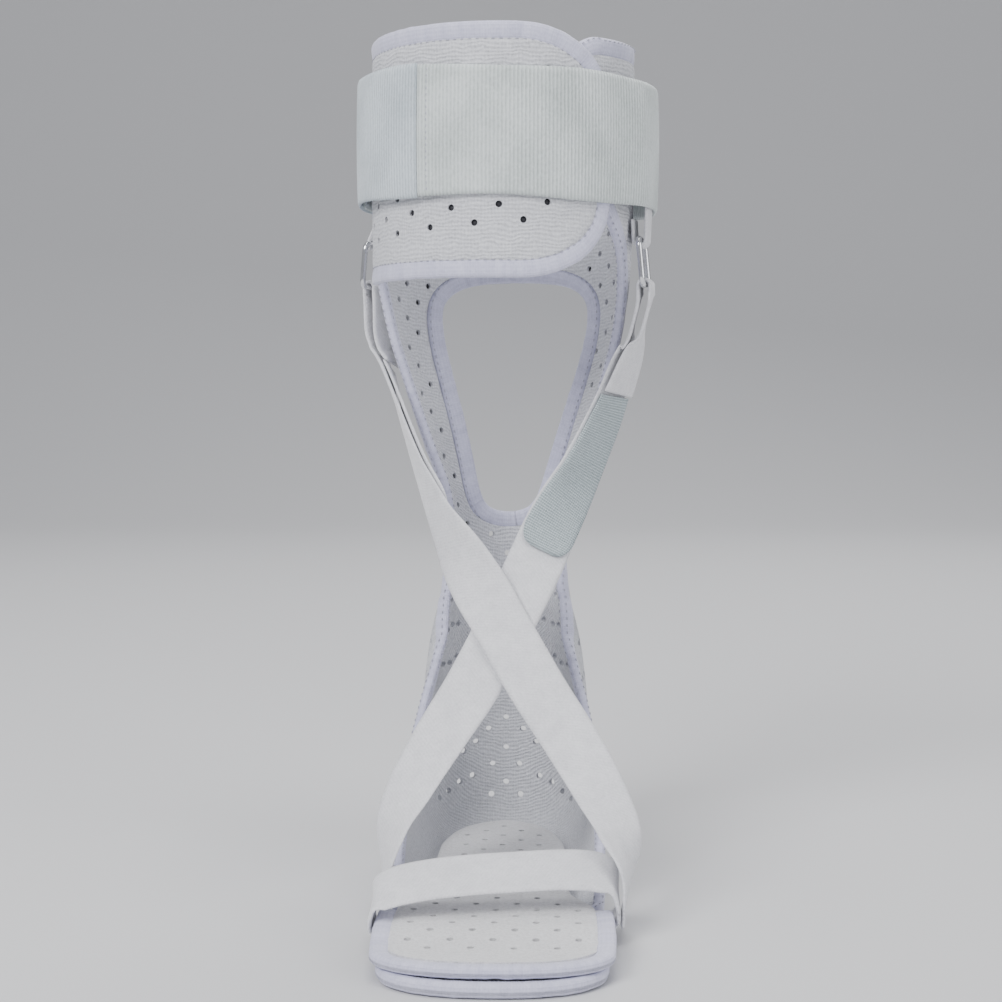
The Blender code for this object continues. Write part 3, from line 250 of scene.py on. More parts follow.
CROSS_BACK = (
    (0.9250, -0.4180, 0.0130, 90.0, 0.0),
    (0.9000, -0.4130, 0.0600, 80.0, 4.0),
    (0.8600, -0.4010, 0.1030, 58.0, 12.0),
    (0.7150, -0.3650, 0.1470, 36.0, 24.0),
    (0.4900, -0.3050, 0.1960, 22.0, 32.0),
    (0.2400, -0.2400, 0.2460, 9.0, 38.0),
    (-0.0400, -0.1570, 0.3130, 0.0, 38.0),
    (-0.2640, -0.0950, 0.3720, -8.0, 30.0),
    (-0.4600, -0.0400, 0.4290, -26.0, 14.0),
    (-0.6640, -0.0020, 0.4850, -50.0, 4.0),
    (-0.9150, 0.0120, 0.5650, -62.0, 0.0),
    (-1.0950, 0.0080, 0.6400, -74.0, 0.0),
)
# Insole outline, toe to heel: y a share of FOOT_LENGTH from the ankle axis, half a share of
# INSOLE_WIDTH to the middle of its edge binding, bow a share of FOOT_LENGTH.
INSOLE_COLUMNS = ("y", "half", "bow")
INSOLE_SHAPE = (
    (-0.7780, 0.452, 0.090), (-0.7050, 0.457, 0.058), (-0.6200, 0.458, 0.026),
    (-0.5500, 0.457, 0.006), (-0.4900, 0.450, 0.000), (-0.4400, 0.395, 0.000),
    (-0.3900, 0.345, 0.000), (-0.2500, 0.335, 0.000), (-0.0800, 0.325, 0.000),
    (0.0200, 0.280, 0.000), (0.0700, 0.230, 0.000), (0.1020, 0.165, 0.000),
    (0.1240, 0.070, 0.000),
)
FOREFOOT_Y = FOOT_SECTIONS[0][0] * FOOT_LENGTH + FOREFOOT_BACK
FLAT_UNTIL = 4             # last foot section whose panel is flat
CUFF_FROM = len(FOOT_SECTIONS) + 8
RING_ANGLES = {"left": np.radians(RING_ANGLE_LEFT), "right": np.radians(RING_ANGLE_RIGHT)}
FLAP_ANGLES = (np.radians(CALF_SECTIONS[-1][-2]) + BOUND_EDGE / CUFF_RADIUS, np.radians(FLAP_END))


# %% Curves through the tables
def table(columns, rows):
    """The rows as one array per named column."""
    return {name: np.array([row[i] for row in rows], float) for i, name in enumerate(columns)}


def smooth(x, xs, ys):
    """Monotone cubic through the points (xs, ys): its slopes are harmonic means of the steps beside."""
    xs, ys = np.asarray(xs, float), np.asarray(ys, float)
    h, d = np.diff(xs), np.diff(ys) / np.diff(xs)
    m = np.zeros(len(xs))
    both = d[:-1] * d[1:] > 1e-18
    w1, w2 = 2 * h[1:] + h[:-1], h[1:] + 2 * h[:-1]
    safe = np.where(both, d[:-1] * d[1:], 1.0)
    m[1:-1] = np.where(both, (w1 + w2) * safe / np.where(both, w1 * d[1:] + w2 * d[:-1], 1.0), 0.0)
    m[0], m[-1] = d[0], d[-1]
    i = np.clip(np.searchsorted(xs, x) - 1, 0, len(xs) - 2)
    t = (x - xs[i]) / h[i]
    rise = (3 * t**2 - 2 * t**3) * (ys[i + 1] - ys[i])
    return ys[i] + rise + h[i] * ((t**3 - 2 * t**2 + t) * m[i] + (t**3 - t**2) * m[i + 1])


def unit(v):
    """Vectors divided by their lengths."""
    return v / np.maximum(np.linalg.norm(v, axis=-1, keepdims=True), 1e-12)


def ease(x):
    """0 below 0, 1 above 1, and 3x^2 - 2x^3 between."""
    x = np.clip(x, 0, 1)
    return x * x * (3 - 2 * x)


def stations():
    """All sections of the shell in metres, foot and calf, one array per column."""
    foot, calf = table(FOOT_COLUMNS, FOOT_SECTIONS), table(CALF_COLUMNS, CALF_SECTIONS)
    n = len(FOOT_SECTIONS)
    join = lambda a, b: np.concatenate([a, b])
    return {
        "y": join(foot["y"] * FOOT_LENGTH, calf["y"] * HEEL_BACK),
        "z": join(foot["z"] * ANKLE_HEIGHT + PANEL_MIDDLE, calf["z"] * BRACE_HEIGHT),
        "edge_y": join(foot["edge_y"] * FOOT_LENGTH, calf["edge_y"] * HEEL_BACK),
        "edge_z": join(foot["edge_z"] * ANKLE_HEIGHT + PANEL_MIDDLE, calf["edge_z"] * BRACE_HEIGHT),
        "half": join(foot["half"] * SOLE_WIDTH, calf["half"] * CUFF_WIDTH),
        "square": join(foot["square"], calf["square"]),
        "pinch": join(foot["pinch"], calf["pinch"]),
        "bow": join(foot["bow"] * FOOT_LENGTH, 0 * calf["y"]),
        "wrap_left": join(np.full(n, 90.0), calf["wrap_left"]),
        "wrap_right": join(np.full(n, 90.0), calf["wrap_right"]),
    }


STATIONS = stations()
LAST = len(STATIONS["y"]) - 1
print("sections:", LAST + 1)


# %% The shell's middle surface
def at(name, t):
    """A column of the stations at t, which counts sections."""
    return smooth(t, np.arange(LAST + 1), STATIONS[name])


def flat_share(t):
    """1 where the sole panel is flat, 0 where its walls rise."""
    return np.clip(FLAT_UNTIL + 0.5 - t, 0, 1)


def turned(p):
    """Turns points by their height: the calf part faces a little to one side."""
    low, high = TWIST_FROM * ANKLE_HEIGHT, TWIST_TO * BRACE_HEIGHT
    share = ease((p[..., 2] - low) / (high - low))
    a = np.radians(TOE_TURN + (TWIST - TOE_TURN) * share)
    x, y = p[..., 0], p[..., 1]
    return np.stack([x * np.cos(a) - y * np.sin(a), x * np.sin(a) + y * np.cos(a), p[..., 2]], -1)


def trough(t, angle, inset=0.0):
    """Shell middle at station t and angle from the back.

    x = half * sin(angle)^(2/square), and it reaches towards the edge by 1 - cos(angle)^(2/square).
    The lowest SOLE_PRESS of each side's rise is pressed flat, so that the sole stands on a plane.
    """
    e = 2 / at("square", t)
    s, c = np.sin(angle), np.cos(angle)
    across = np.sign(s) * np.abs(s) ** e
    deep = 1 - np.sign(c) * np.abs(c) ** e
    narrow = 1 - at("pinch", t) * np.clip(deep, 0, 1) ** 2
    y, z = at("y", t), at("z", t)
    rise = deep * (at("edge_z", t) - z)
    press = SOLE_PRESS * np.clip(1 - z / PANEL, 0, 1)
    bow = at("bow", t) * (1 - inset / STATIONS["bow"][0])
    bow = bow * (1 - (1 - np.minimum(np.abs(across), 1) ** TOE_ROUND) ** (1 / TOE_ROUND))
    return np.stack([
        (at("half", t) - inset * flat_share(t)) * across * narrow,
        y + deep * (at("edge_y", t) - y) + bow,
        z + rise - np.clip(rise, -press, press),
    ], -1)


def lengths(p):
    """Distance along each row of points."""
    step = np.linalg.norm(np.diff(p, axis=-2), axis=-1)
    return np.concatenate([np.zeros(step.shape[:-1] + (1,)), np.cumsum(step, axis=-1)], axis=-1)


SPINE_T = np.linspace(0, LAST, 800)
SPINE = trough(SPINE_T, np.zeros(800))
SPINE_LENGTH = lengths(SPINE)
print("shell length along its middle:", SPINE_LENGTH[-1].round(4))


# %% Rows of the shell at even distances
def corner_cut(t, inset):
    """How far the rounded top corner takes the side edge in: r - sqrt(r^2 - x^2) near the top."""
    left = SPINE_LENGTH[-1] - inset - np.interp(t, SPINE_T, SPINE_LENGTH)
    r = CORNER - inset
    x = np.clip(1 - left / r, 0, 1)
    return r * (1 - np.sqrt(1 - x * x))


def edge_slant(t, wrap):
    """How much longer a row is inside the edge tape where the edge crosses it at a slant."""
    step = 0.02
    along = unit(trough(np.minimum(t + step, LAST), wrap) - trough(np.maximum(t - step, 0), wrap))
    row = unit(trough(t, wrap) - trough(t, wrap * 0.98))
    return 1 / np.clip(np.linalg.norm(np.cross(along, row), axis=-1), 0.5, 1.0)


def along_rows(p, want):
    """Points at wanted distances along each row of p, all rows at once."""
    run = lengths(p)
    far = 10.0 * np.arange(len(p))[:, None]
    flat_run, flat_want = (run + far).ravel(), (want + far).ravel()
    picked = [np.interp(flat_want, flat_run, p[..., k].ravel()) for k in range(3)]
    return np.stack(picked, -1).reshape(*want.shape, 3)


def shell_rows(t, across, inset=0.0):
    """Shell points for stations t and shares across, -1 at the left edge and 1 at the right.

    Also returns each point's distance from the middle line, measured along the row.
    """
    out = np.zeros((len(t), len(across), 3))
    aside = np.zeros((len(t), len(across)))
    dense = np.linspace(0, 1, 500)
    for side, name in ((-1, "wrap_left"), (1, "wrap_right")):
        wrap = np.radians(at(name, t))
        p = trough(t[:, None], side * wrap[:, None] * dense[None], inset)
        trim = inset * edge_slant(t, side * wrap) * (1 - flat_share(t))
        edge = lengths(p)[:, -1] - trim - corner_cut(t, inset)
        pick = across * side >= 0
        want = np.abs(across[pick])[None] * edge[:, None]
        out[:, pick] = along_rows(p, want)
        aside[:, pick] = side * want
    return out, aside


def grid_normals(p):
    """Unit normals of a grid of points: the cross product of its two directions."""
    return unit(np.cross(np.gradient(p, axis=0), np.gradient(p, axis=1)))


# %% [markdown]
# ## From a grid to a piece
# Padded cloth is a middle surface with two leaves that close at the rim. One function builds every
# panel and strap from a grid of points and a thickness at each point, and keeps two UV lengths in
# metres, so that a rib or a weave has its real size on every piece.

# %% Meshes from arrays
def mesh_piece(name, points, faces, uv=None):
    """A mesh object with the given points and faces. uv holds one pair for each point."""
    mesh = bpy.data.meshes.new(name)
    mesh.from_pydata(points.tolist(), [], faces)
    if uv is not None:
        layer = mesh.uv_layers.new(name="cloth")
        corners = np.zeros(len(mesh.loops), int)
        mesh.loops.foreach_get("vertex_index", corners)
        layer.data.foreach_set("uv", uv[corners].astype(np.float32).ravel())
    mesh.shade_smooth()
    obj = bpy.data.objects.new(name, mesh)
    bpy.context.scene.collection.objects.link(obj)
    return obj


def quads(rows, columns, close_rows=False, close_columns=False):
    """Quads of a grid of points, as an array, joined end to end where asked."""
    i = np.arange(rows if close_rows else rows - 1)[:, None]
    j = np.arange(columns if close_columns else columns - 1)[None]
    k, l = (i + 1) % rows, (j + 1) % columns
    return np.stack([i * columns + j, i * columns + l, k * columns + l, k * columns + j], -1).reshape(-1, 4)


def outward(points, faces):
    """The same faces, turned over if together they enclose a negative volume."""
    a, b, c = (points[faces[:, k]] for k in (0, 1, 2))
    d = points[faces[:, 3]]
    volume = (np.cross(a, b) * c).sum() + (np.cross(a, c) * d).sum()
    return faces if volume > 0 else faces[:, ::-1]


def padded_panel(name, grid, thick, uv, normals=None, closed=False):
    """Closed sheet about a grid: each leaf stands half the thickness off along the normals."""
    rows, columns = grid.shape[:2]
    if normals is None:
        normals = grid_normals(grid)
    half = np.broadcast_to(np.asarray(thick, float), (rows, columns))[..., None] / 2
    points = np.concatenate([(grid + normals * half).reshape(-1, 3), (grid - normals * half).reshape(-1, 3)])
    n = rows * columns
    leaf = quads(rows, columns, close_rows=closed)
    index = np.arange(n).reshape(rows, columns)
    if closed:
        rims = [np.append(index[:, 0], index[0, 0]), np.append(index[:, -1], index[0, -1])[::-1]]
    else:
        rims = [np.concatenate([index[:, 0], index[-1, 1:], index[-2::-1, -1], index[0, -2::-1]])]
    sides = [np.stack([r[:-1], r[1:], r[1:] + n, r[:-1] + n], -1) for r in rims]
    faces = np.concatenate([leaf, leaf[:, ::-1] + n] + sides)
    flat_uv = np.concatenate([uv.reshape(-1, 2)] * 2)
    return mesh_piece(name, points, outward(points, faces).tolist(), flat_uv)


def rim(distance, reach):
    """Thickness share near an edge: a quarter circle, 0.35 at the edge and 1 from reach inwards."""
    x = np.clip(distance / reach, 0, 1)
    return 0.35 + 0.65 * np.sqrt(1 - (1 - x) ** 2)


# %% [markdown]
# ## Perforations
# The padding is punched through on a lattice. The holes are cut with a Boolean against one mesh of
# small prisms, because a hole has to let light through. Round each hole the padding dips a little.

# %% Punching holes
HOLE = 0.00145             # radius of a punched hole
HOLE_SIDES = 10
HOLE_CREASE = np.radians(50)
PUNCH = 0.0060             # reach of the punch on each side of the cloth
SHADE_DISC_SHARE = 1.1          # radius of a painted-shade disc in a hole, as a share of its hole's
SHADE_DISC_SIDES = 8
DIMPLE_DEPTH = 0.22        # share of the padding's thickness that is lost at a hole
DIMPLE_REACH = 0.0026
PAD_EDGE = 0.0040          # the padding thins over this length towards its edge
PAD_START = 0.0008


def dimples(da, db):
    """Share of the thickness lost near a hole: depth * exp(-(distance / reach)^2)."""
    return DIMPLE_DEPTH * np.exp(-((da**2 + db**2) / DIMPLE_REACH**2))



def lattice(a, b, pitch_a, pitch_b):
    """Offsets (da, db) from each point to the nearest place of a centred rectangular lattice."""
    def near(x, y):
        return x - np.round(x / pitch_a) * pitch_a, y - np.round(y / pitch_b) * pitch_b
    first, second = near(a, b), near(a - pitch_a / 2, b - pitch_b / 2)
    closer = np.hypot(*first) <= np.hypot(*second)
    return np.where(closer, first[0], second[0]), np.where(closer, first[1], second[1])


def lattice_places(low, high, pitch_a, pitch_b):
    """All places of that lattice inside a box of the two lengths."""
    a = np.arange(np.floor(low[0] / pitch_a) - 1, high[0] / pitch_a + 1) * pitch_a
    b = np.arange(np.floor(low[1] / pitch_b) - 1, high[1] / pitch_b + 1) * pitch_b
    grid = np.stack(np.meshgrid(a, b), -1).reshape(-1, 2)
    places = np.concatenate([grid, grid + (pitch_a / 2, pitch_b / 2)])
    return places[(places > low).all(1) & (places < high).all(1)]


def prisms(name, centres, normals, radius, reach, sides=HOLE_SIDES):
    """Small prisms standing at the centres along the normals, all in one mesh."""
    aside = unit(np.cross(normals, np.where(np.abs(normals[:, 2:]) < 0.8, UP, np.array((1.0, 0, 0)))))
    other = np.cross(normals, aside)
    a = np.linspace(0, 2 * np.pi, sides, endpoint=False)
    circle = radius * (np.cos(a)[None, :, None] * aside[:, None] + np.sin(a)[None, :, None] * other[:, None])
    low = centres[:, None] + circle - normals[:, None] * reach
    high = centres[:, None] + circle + normals[:, None] * reach
    points = np.stack([low, high], 1).reshape(-1, 3)
    faces = []
    for k in range(len(centres)):
        base = k * 2 * sides
        faces += [(base + i, base + (i + 1) % sides, base + sides + (i + 1) % sides, base + sides + i)
                  for i in range(sides)]
        faces += [tuple(range(base + sides - 1, base - 1, -1)), tuple(range(base + sides, base + 2 * sides))]
    return mesh_piece(name, points, faces)


def cut(piece, cutter):
    """Takes the cutter's volume out of the piece, and removes the cutter."""
    modifier = piece.modifiers.new("Cut", "BOOLEAN")
    modifier.operation = "DIFFERENCE"
    modifier.solver = "MANIFOLD"
    modifier.object = cutter
    dressed = piece.evaluated_get(bpy.context.evaluated_depsgraph_get())
    mesh = bpy.data.meshes.new_from_object(dressed)
    old = piece.data
    piece.modifiers.clear()
    piece.data = mesh
    mesh.name = piece.name
    bpy.data.meshes.remove(old)
    bpy.data.objects.remove(cutter)
    mesh.shade_smooth()
    mesh.set_sharp_from_angle(angle=HOLE_CREASE)


# %% [markdown]
# ## Materials
# All the cloths are rough and matte, with a little sheen, and differ in how they are made: a ribbed
# spacer knit on the shell, folded tricot tape at the edges, brushed loop webbing, a ribbed hook
# patch and a fleece insole. Each is a Principled shader whose colour and bump come from waves along
# the piece's own UV lengths, with noise for the yarn and for soiling.

# %% Node helpers
def add(tree, kind, sockets=None, **settings):
    """A shader node with its settings, its sockets set or linked."""
    made = tree.nodes.new("ShaderNode" + kind)
    for key, value in settings.items():
        setattr(made, key, value)
    for key, value in (sockets or {}).items():
        if isinstance(value, bpy.types.NodeSocket):
            tree.links.new(value, made.inputs[key])
        else:
            made.inputs[key].default_value = value
    return made


def maths(tree, operation, a, b=0.0, clamp=False):
    """One Math node's result."""
    return add(tree, "Math", {0: a, 1: b}, operation=operation, use_clamp=clamp).outputs[0]


def wave(tree, coordinate, pitch):
    """0.5 + 0.5 sin(2 pi coordinate / pitch)."""
    turns = maths(tree, "MULTIPLY", coordinate, 2 * np.pi / pitch)
    return maths(tree, "ADD", maths(tree, "MULTIPLY", maths(tree, "SINE", turns), 0.5), 0.5)


def noise(tree, vector, scale, detail=2.0, rough=0.5):
    """A noise texture's value."""
    sockets = {"Vector": vector, "Scale": scale, "Detail": detail, "Roughness": rough}
    return add(tree, "TexNoise", sockets).outputs["Fac"]


def stretched(tree, vector, scale, detail, rough=0.5):
    """Noise drawn out: scale holds its fineness along each axis."""
    mapped = add(tree, "Mapping", {"Vector": vector, "Scale": scale}).outputs[0]
    return noise(tree, mapped, 1.0, detail, rough)


def ramp(tree, value, low, high, first=0.0, last=1.0):
    """Maps value from low..high to first..last, clamped."""
    sockets = {"Value": value, "From Min": low, "From Max": high, "To Min": first, "To Max": last}
    return add(tree, "MapRange", sockets).outputs[0]


def total(tree, *terms):
    """Sum of values, each times its weight."""
    out = 0.0
    for value, weight in terms:
        out = add(tree, "Math", {0: value, 1: weight, 2: out}, operation="MULTIPLY_ADD").outputs[0]
    return out


def mix(tree, factor, a, b):
    """Mixes two colours."""
    made = add(tree, "Mix", data_type="RGBA")
    for socket, value in ((made.inputs[0], factor), (made.inputs[6], a), (made.inputs[7], b)):
        if isinstance(value, bpy.types.NodeSocket):
            tree.links.new(value, socket)
        else:
            socket.default_value = (*value, 1.0) if isinstance(value, tuple) else value
    return made.outputs[2]


def new_material(name, roughness):
    """A material with its node tree and its shader."""
    material = bpy.data.materials.new(name)
    material.use_nodes = True
    shader = material.node_tree.nodes["Principled BSDF"]
    shader.inputs["Roughness"].default_value = roughness
    return material, material.node_tree, shader


def cloth_material(name, light, dark, build, roughness=0.92, sheen=0.25, depth=0.0004):
    """A matte cloth. build gives its height and its darkness from the tree, UV and object vectors."""
    material, tree, shader = new_material(name, roughness)
    coords = add(tree, "TexCoord")
    split = add(tree, "SeparateXYZ", {0: coords.outputs["UV"]})
    place = coords.outputs["Object"]
    height, shade = build(tree, split.outputs[0], split.outputs[1], coords.outputs["UV"], place)
    soil = ramp(tree, noise(tree, place, 22.0, 3.0), 0.35, 0.75, 0.0, 0.16)
    yarn = ramp(tree, noise(tree, place, 900.0), 0.3, 0.7, -0.10, 0.14)
    factor = maths(tree, "ADD", maths(tree, "ADD", shade, soil), yarn, clamp=True)
    tree.links.new(mix(tree, factor, light, dark), shader.inputs["Base Color"])
    bump = add(tree, "Bump", {"Height": height, "Strength": 1.0, "Distance": depth})
    tree.links.new(bump.outputs[0], shader.inputs["Normal"])
    for socket, value in (("Specular IOR Level", 0.25), ("Sheen Weight", sheen), ("Sheen Roughness", 0.5)):
        shader.inputs[socket].default_value = value
    return material


# %% The cloths
def knit(tree, u, v, uv, place):
    """Spacer knit: wandering ribs across the shell, broken into loops, under a soft fuzz."""
    bend = maths(tree, "SUBTRACT", noise(tree, place, 110.0), 0.5)
    ribs = wave(tree, total(tree, (v, 1.0), (bend, 0.0045)), 0.00175)
    loops, fuzz = wave(tree, u, 0.00125), noise(tree, place, 800.0, 4.0, 0.7)
    height = total(tree, (ribs, 0.40), (loops, 0.15), (fuzz, 1.1))
    return height, ramp(tree, height, 0.45, 1.15, 0.45, 0.0)


def tricot(tree, u, v, uv, place):
    """Edge tape: very fine lengthwise wales and small cross wrinkles."""
    wales, fine = wave(tree, v, 0.0009), wave(tree, u, 0.0011)
    folds = stretched(tree, uv, (260.0, 60.0, 1.0), 3.0)
    height = total(tree, (wales, 0.12), (fine, 0.10), (folds, 1.2))
    return height, ramp(tree, height, 0.35, 0.95, 0.40, 0.0)


def loop_rib(tree, u, v, uv, place):
    """Loop webbing of the calf strap: fine ribs across the strap, with a pile between them."""
    ribs, pile = wave(tree, u, 0.00165), stretched(tree, uv, (1500.0, 420.0, 1.0), 3.0)
    height = total(tree, (ribs, 0.6), (pile, 0.8))
    patches = ramp(tree, noise(tree, place, 45.0, 3.0), 0.40, 0.68, 0.0, 0.30)
    return height, maths(tree, "ADD", ramp(tree, height, 0.35, 1.0, 0.50, 0.0), patches)


def hook_rib(tree, u, v, uv, place):
    """Hook patch: rows of small hooks across the strap."""
    rows, hooks = wave(tree, u, 0.00115), wave(tree, v, 0.0011)
    height = total(tree, (rows, 0.7), (hooks, 0.3), (noise(tree, place, 1800.0), 0.5))
    return height, ramp(tree, height, 0.35, 1.1, 0.75, 0.0)


def brushed(tree, u, v, uv, place):
    """Brushed webbing: soft short fibres over a faint twill."""
    twill = wave(tree, total(tree, (u, 1.0), (v, 0.6)), 0.0016)
    fibres = stretched(tree, uv, (900.0, 1300.0, 1.0), 4.0, 0.65)
    height = total(tree, (twill, 0.18), (fibres, 1.0), (noise(tree, place, 160.0), 0.9))
    return height, ramp(tree, height, 0.7, 1.35, 0.38, 0.0)


def fleece(tree, u, v, uv, place):
    """Insole cover: a short clumped pile."""
    clumps = add(tree, "TexVoronoi", {"Vector": place, "Scale": 700.0, "Randomness": 1.0}).outputs["Distance"]
    height = total(tree, (clumps, 0.5), (noise(tree, place, 1500.0, 4.0, 0.7), 1.0))
    return height, ramp(tree, height, 0.4, 1.0, 0.45, 0.0)


KNIT = cloth_material("knit_white", (0.78, 0.79, 0.83), (0.30, 0.30, 0.34), knit, depth=0.0005)
TRICOT = cloth_material("binding_lavender", (0.66, 0.66, 0.82), (0.34, 0.34, 0.48), tricot, 0.8, 0.4, 0.0005)
LOOP = cloth_material("loop_fabric", (0.74, 0.79, 0.79), (0.40, 0.45, 0.44), loop_rib)
HOOK = cloth_material("hook_fabric", (0.60, 0.68, 0.71), (0.26, 0.32, 0.34), hook_rib, 0.7, 0.1, 0.0005)
TAB = cloth_material("tab_fabric", (0.68, 0.75, 0.80), (0.34, 0.40, 0.44), loop_rib)
BRUSHED = cloth_material("brushed_tape", (0.82, 0.82, 0.85), (0.48, 0.48, 0.52), brushed, 0.95, 0.5, 0.0003)
FLEECE = cloth_material("insole_fleece", (0.83, 0.83, 0.85), (0.45, 0.44, 0.45), fleece, 0.95, 0.5, 0.0005)
print("cloths:", [m.name for m in (KNIT, TRICOT, LOOP, HOOK, TAB, BRUSHED, FLEECE)])

# %% [markdown]
# Wire rings are chromed steel: a bright metal with faint drawing marks. The near-black discs set
# into the holes are painted shade for the dark inside of a hole; they and the sewing thread have a fine grain.

# %% Chrome, painted hole shade and thread
def chrome_material():
    """Polished metal with faint streaks in its colour and its bump."""
    material, tree, shader = new_material("chrome", 0.14)
    streaks = stretched(tree, add(tree, "TexCoord").outputs["Object"], (400.0, 400.0, 90.0), 3.0)
    colour = mix(tree, ramp(tree, streaks, 0.4, 0.7), (0.80, 0.81, 0.83), (0.62, 0.62, 0.63))
    tree.links.new(colour, shader.inputs["Base Color"])
    bump = add(tree, "Bump", {"Height": streaks, "Distance": 0.00004})
    tree.links.new(bump.outputs[0], shader.inputs["Normal"])
    shader.inputs["Metallic"].default_value = 1.0
    return material


def grained(name, light, dark, scale, detail, roughness):
    """A plain material mottled by a fine grain."""
    material, tree, shader = new_material(name, roughness)
    grain = noise(tree, add(tree, "TexCoord").outputs["Object"], scale, detail)
    tree.links.new(mix(tree, grain, light, dark), shader.inputs["Base Color"])
    return material


CHROME = chrome_material()
# Near-black discs for the holes: painted shade for the dark inside of a hole, not a material of the brace.
HOLE_SHADE = grained("hole_shade_dark", (0.05, 0.05, 0.06), (0.02, 0.02, 0.025), 900.0, 3.0, 0.6)
THREAD = grained("thread", (0.46, 0.46, 0.54), (0.30, 0.30, 0.37), 2500.0, 2.0, 0.8)


# %% Placing a finished piece
def finish_piece(piece, material, nodes=()):
    """Gives a piece its material and its body, and hides the nodes that it stands for."""
    piece.data.materials.clear()
    piece.data.materials.append(material)
    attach(piece, "root")
    if nodes:
        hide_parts(*nodes)
    print(piece.name, len(piece.data.polygons), "faces")
    return piece


# %% [markdown]
# ## Sewing thread
# Each stitch is a small spindle laid along the seam. One array of spindle points is set at every
# stitch at once, so a seam of four hundred stitches is a single light mesh.

# %% Stitches along a line
STITCH_LENGTH = 0.0016
STITCH_STEP = 0.0033
STITCH_WIDTH = 0.00050


def stitches(name, path, normals, step=STITCH_STEP, size=1.0, closed=False):
    """Spindles along a path: six points round the middle of each stitch and one at either end."""
    loop = np.vstack([path, path[:1]]) if closed else path
    lift = np.vstack([normals, normals[:1]]) if closed else normals
    run = lengths(loop)
    want = np.arange(step / 2, run[-1], step)
    pick = lambda v: np.stack([np.interp(want, run, v[:, k]) for k in range(3)], -1)
    centre, up = pick(loop), unit(pick(lift))
    along = unit(np.gradient(centre, axis=0))
    aside = np.cross(up, along)
    a = np.linspace(0, 2 * np.pi, 6, endpoint=False)
    middle = [(s * 0.25, 0.5 * np.cos(x), 0.5 * np.sin(x)) for s in (-1, 1) for x in a]
    local = np.array([(-0.5, 0, 0)] + middle + [(0.5, 0, 0)])
    scale = np.array((STITCH_LENGTH, STITCH_WIDTH, STITCH_WIDTH)) * size
    local = local * scale
    points = (centre[:, None] + local[None, :, :1] * along[:, None] + local[None, :, 1:2] * aside[:, None]
              + local[None, :, 2:] * up[:, None])
    ends = [(0, 1 + (k + 1) % 6, 1 + k) for k in range(6)] + [(13, 7 + k, 7 + (k + 1) % 6) for k in range(6)]
    body = [(1 + k, 1 + (k + 1) % 6, 7 + (k + 1) % 6, 7 + k) for k in range(6)]
    faces = [tuple(14 * i + v for v in face) for i in range(len(centre)) for face in ends + body]
    piece = mesh_piece(name, points.reshape(-1, 3), faces)
    return finish_piece(piece, THREAD)


# %% [markdown]
# ## Edge tapes
# The raw edges of the padding are wrapped in a folded tape. It is a section carried along the edge:
# plump at the free side, flatter where the seam pulls it down, and puckered a little all along.

# %% A folded tape along a path
def tape_section(width, thick, sides=20):
    """Section of a folded tape as (x towards the free side, y through the panel).

    x = w/2 cos(a)^0.7 and y = h/2 sin(a)^0.7, with h larger on the free side.
    """
    a = np.linspace(0, 2 * np.pi, sides, endpoint=False)
    x = np.sign(np.cos(a)) * np.abs(np.cos(a)) ** 0.7
    y = np.sign(np.sin(a)) * np.abs(np.sin(a)) ** 0.7
    return np.stack([x * width / 2, y * thick / 2 * (0.90 + 0.16 * x)], -1)


def pucker(run, around, seed, depth):
    """Small uneven ripples along a tape: a sum of sines with seeded lengths and phases."""
    rng = np.random.default_rng(seed)
    out = np.zeros(np.broadcast(run, around).shape)
    for length in (0.0068, 0.0093, 0.0137, 0.021):
        size, phase, slant = rng.uniform(0.5, 1.0), rng.uniform(0, 6.28), rng.uniform(-0.8, 0.8)
        out = out + size * np.sin(2 * np.pi * run / length + phase + slant * around)
    gate = 0.55 + 0.45 * np.sin(2 * np.pi * run / 0.083 + rng.uniform(0, 6.28))
    return depth * out * gate / 2.5


def folded_tape(name, path, normals, width, thick, closed=True, seed=1, depth=0.00022, sides=20):
    """A tape section carried along a path; free side = tangent x normal."""
    tangent = unit(np.roll(path, -1, 0) - np.roll(path, 1, 0))
    if not closed:
        tangent[0], tangent[-1] = unit(path[1] - path[0]), unit(path[-1] - path[-2])
    normals = unit(normals - (normals * tangent).sum(-1, keepdims=True) * tangent)
    free = np.cross(tangent, normals)
    section = tape_section(1.0, 1.0, sides)
    loop = np.vstack([path, path[:1]]) if closed else path
    run = lengths(loop)[:len(path)]
    angle = np.linspace(0, 2 * np.pi, sides, endpoint=False)
    w = np.asarray(width, float) * np.ones(len(path))
    h = np.asarray(thick, float) * np.ones(len(path))
    grow = 1 + pucker(run[:, None], angle[None], seed, depth) / (0.5 * h[:, None])
    if not closed:
        end = np.minimum(np.arange(len(path)), np.arange(len(path))[::-1])
        grow = grow * np.array((0.35, 0.75, 0.93, 1.0))[np.minimum(end, 3)][:, None]
    x = section[None, :, 0] * w[:, None] * (0.5 + 0.5 * grow)
    y = section[None, :, 1] * h[:, None] * grow
    points = path[:, None] + x[..., None] * free[:, None] + y[..., None] * normals[:, None]
    faces = quads(len(path), sides, close_rows=closed, close_columns=True)
    flat = points.reshape(-1, 3)
    faces = outward(flat, faces)
    if not closed:
        first, last = list(range(sides)), list(range((len(path) - 1) * sides, len(path) * sides))
        forward = (faces[0] == 0).argmax()
        runs_up = faces[0][(forward + 1) % 4] == 1
        caps = [first[::-1], last] if runs_up else [first, last[::-1]]
        faces = faces.tolist() + caps
    else:
        faces = faces.tolist()
    around = np.linspace(0, 2 * width, sides)
    uv = np.stack(np.broadcast_arrays(run[:, None], around[None]), -1).reshape(-1, 2)
    return mesh_piece(name, flat, faces, uv), free


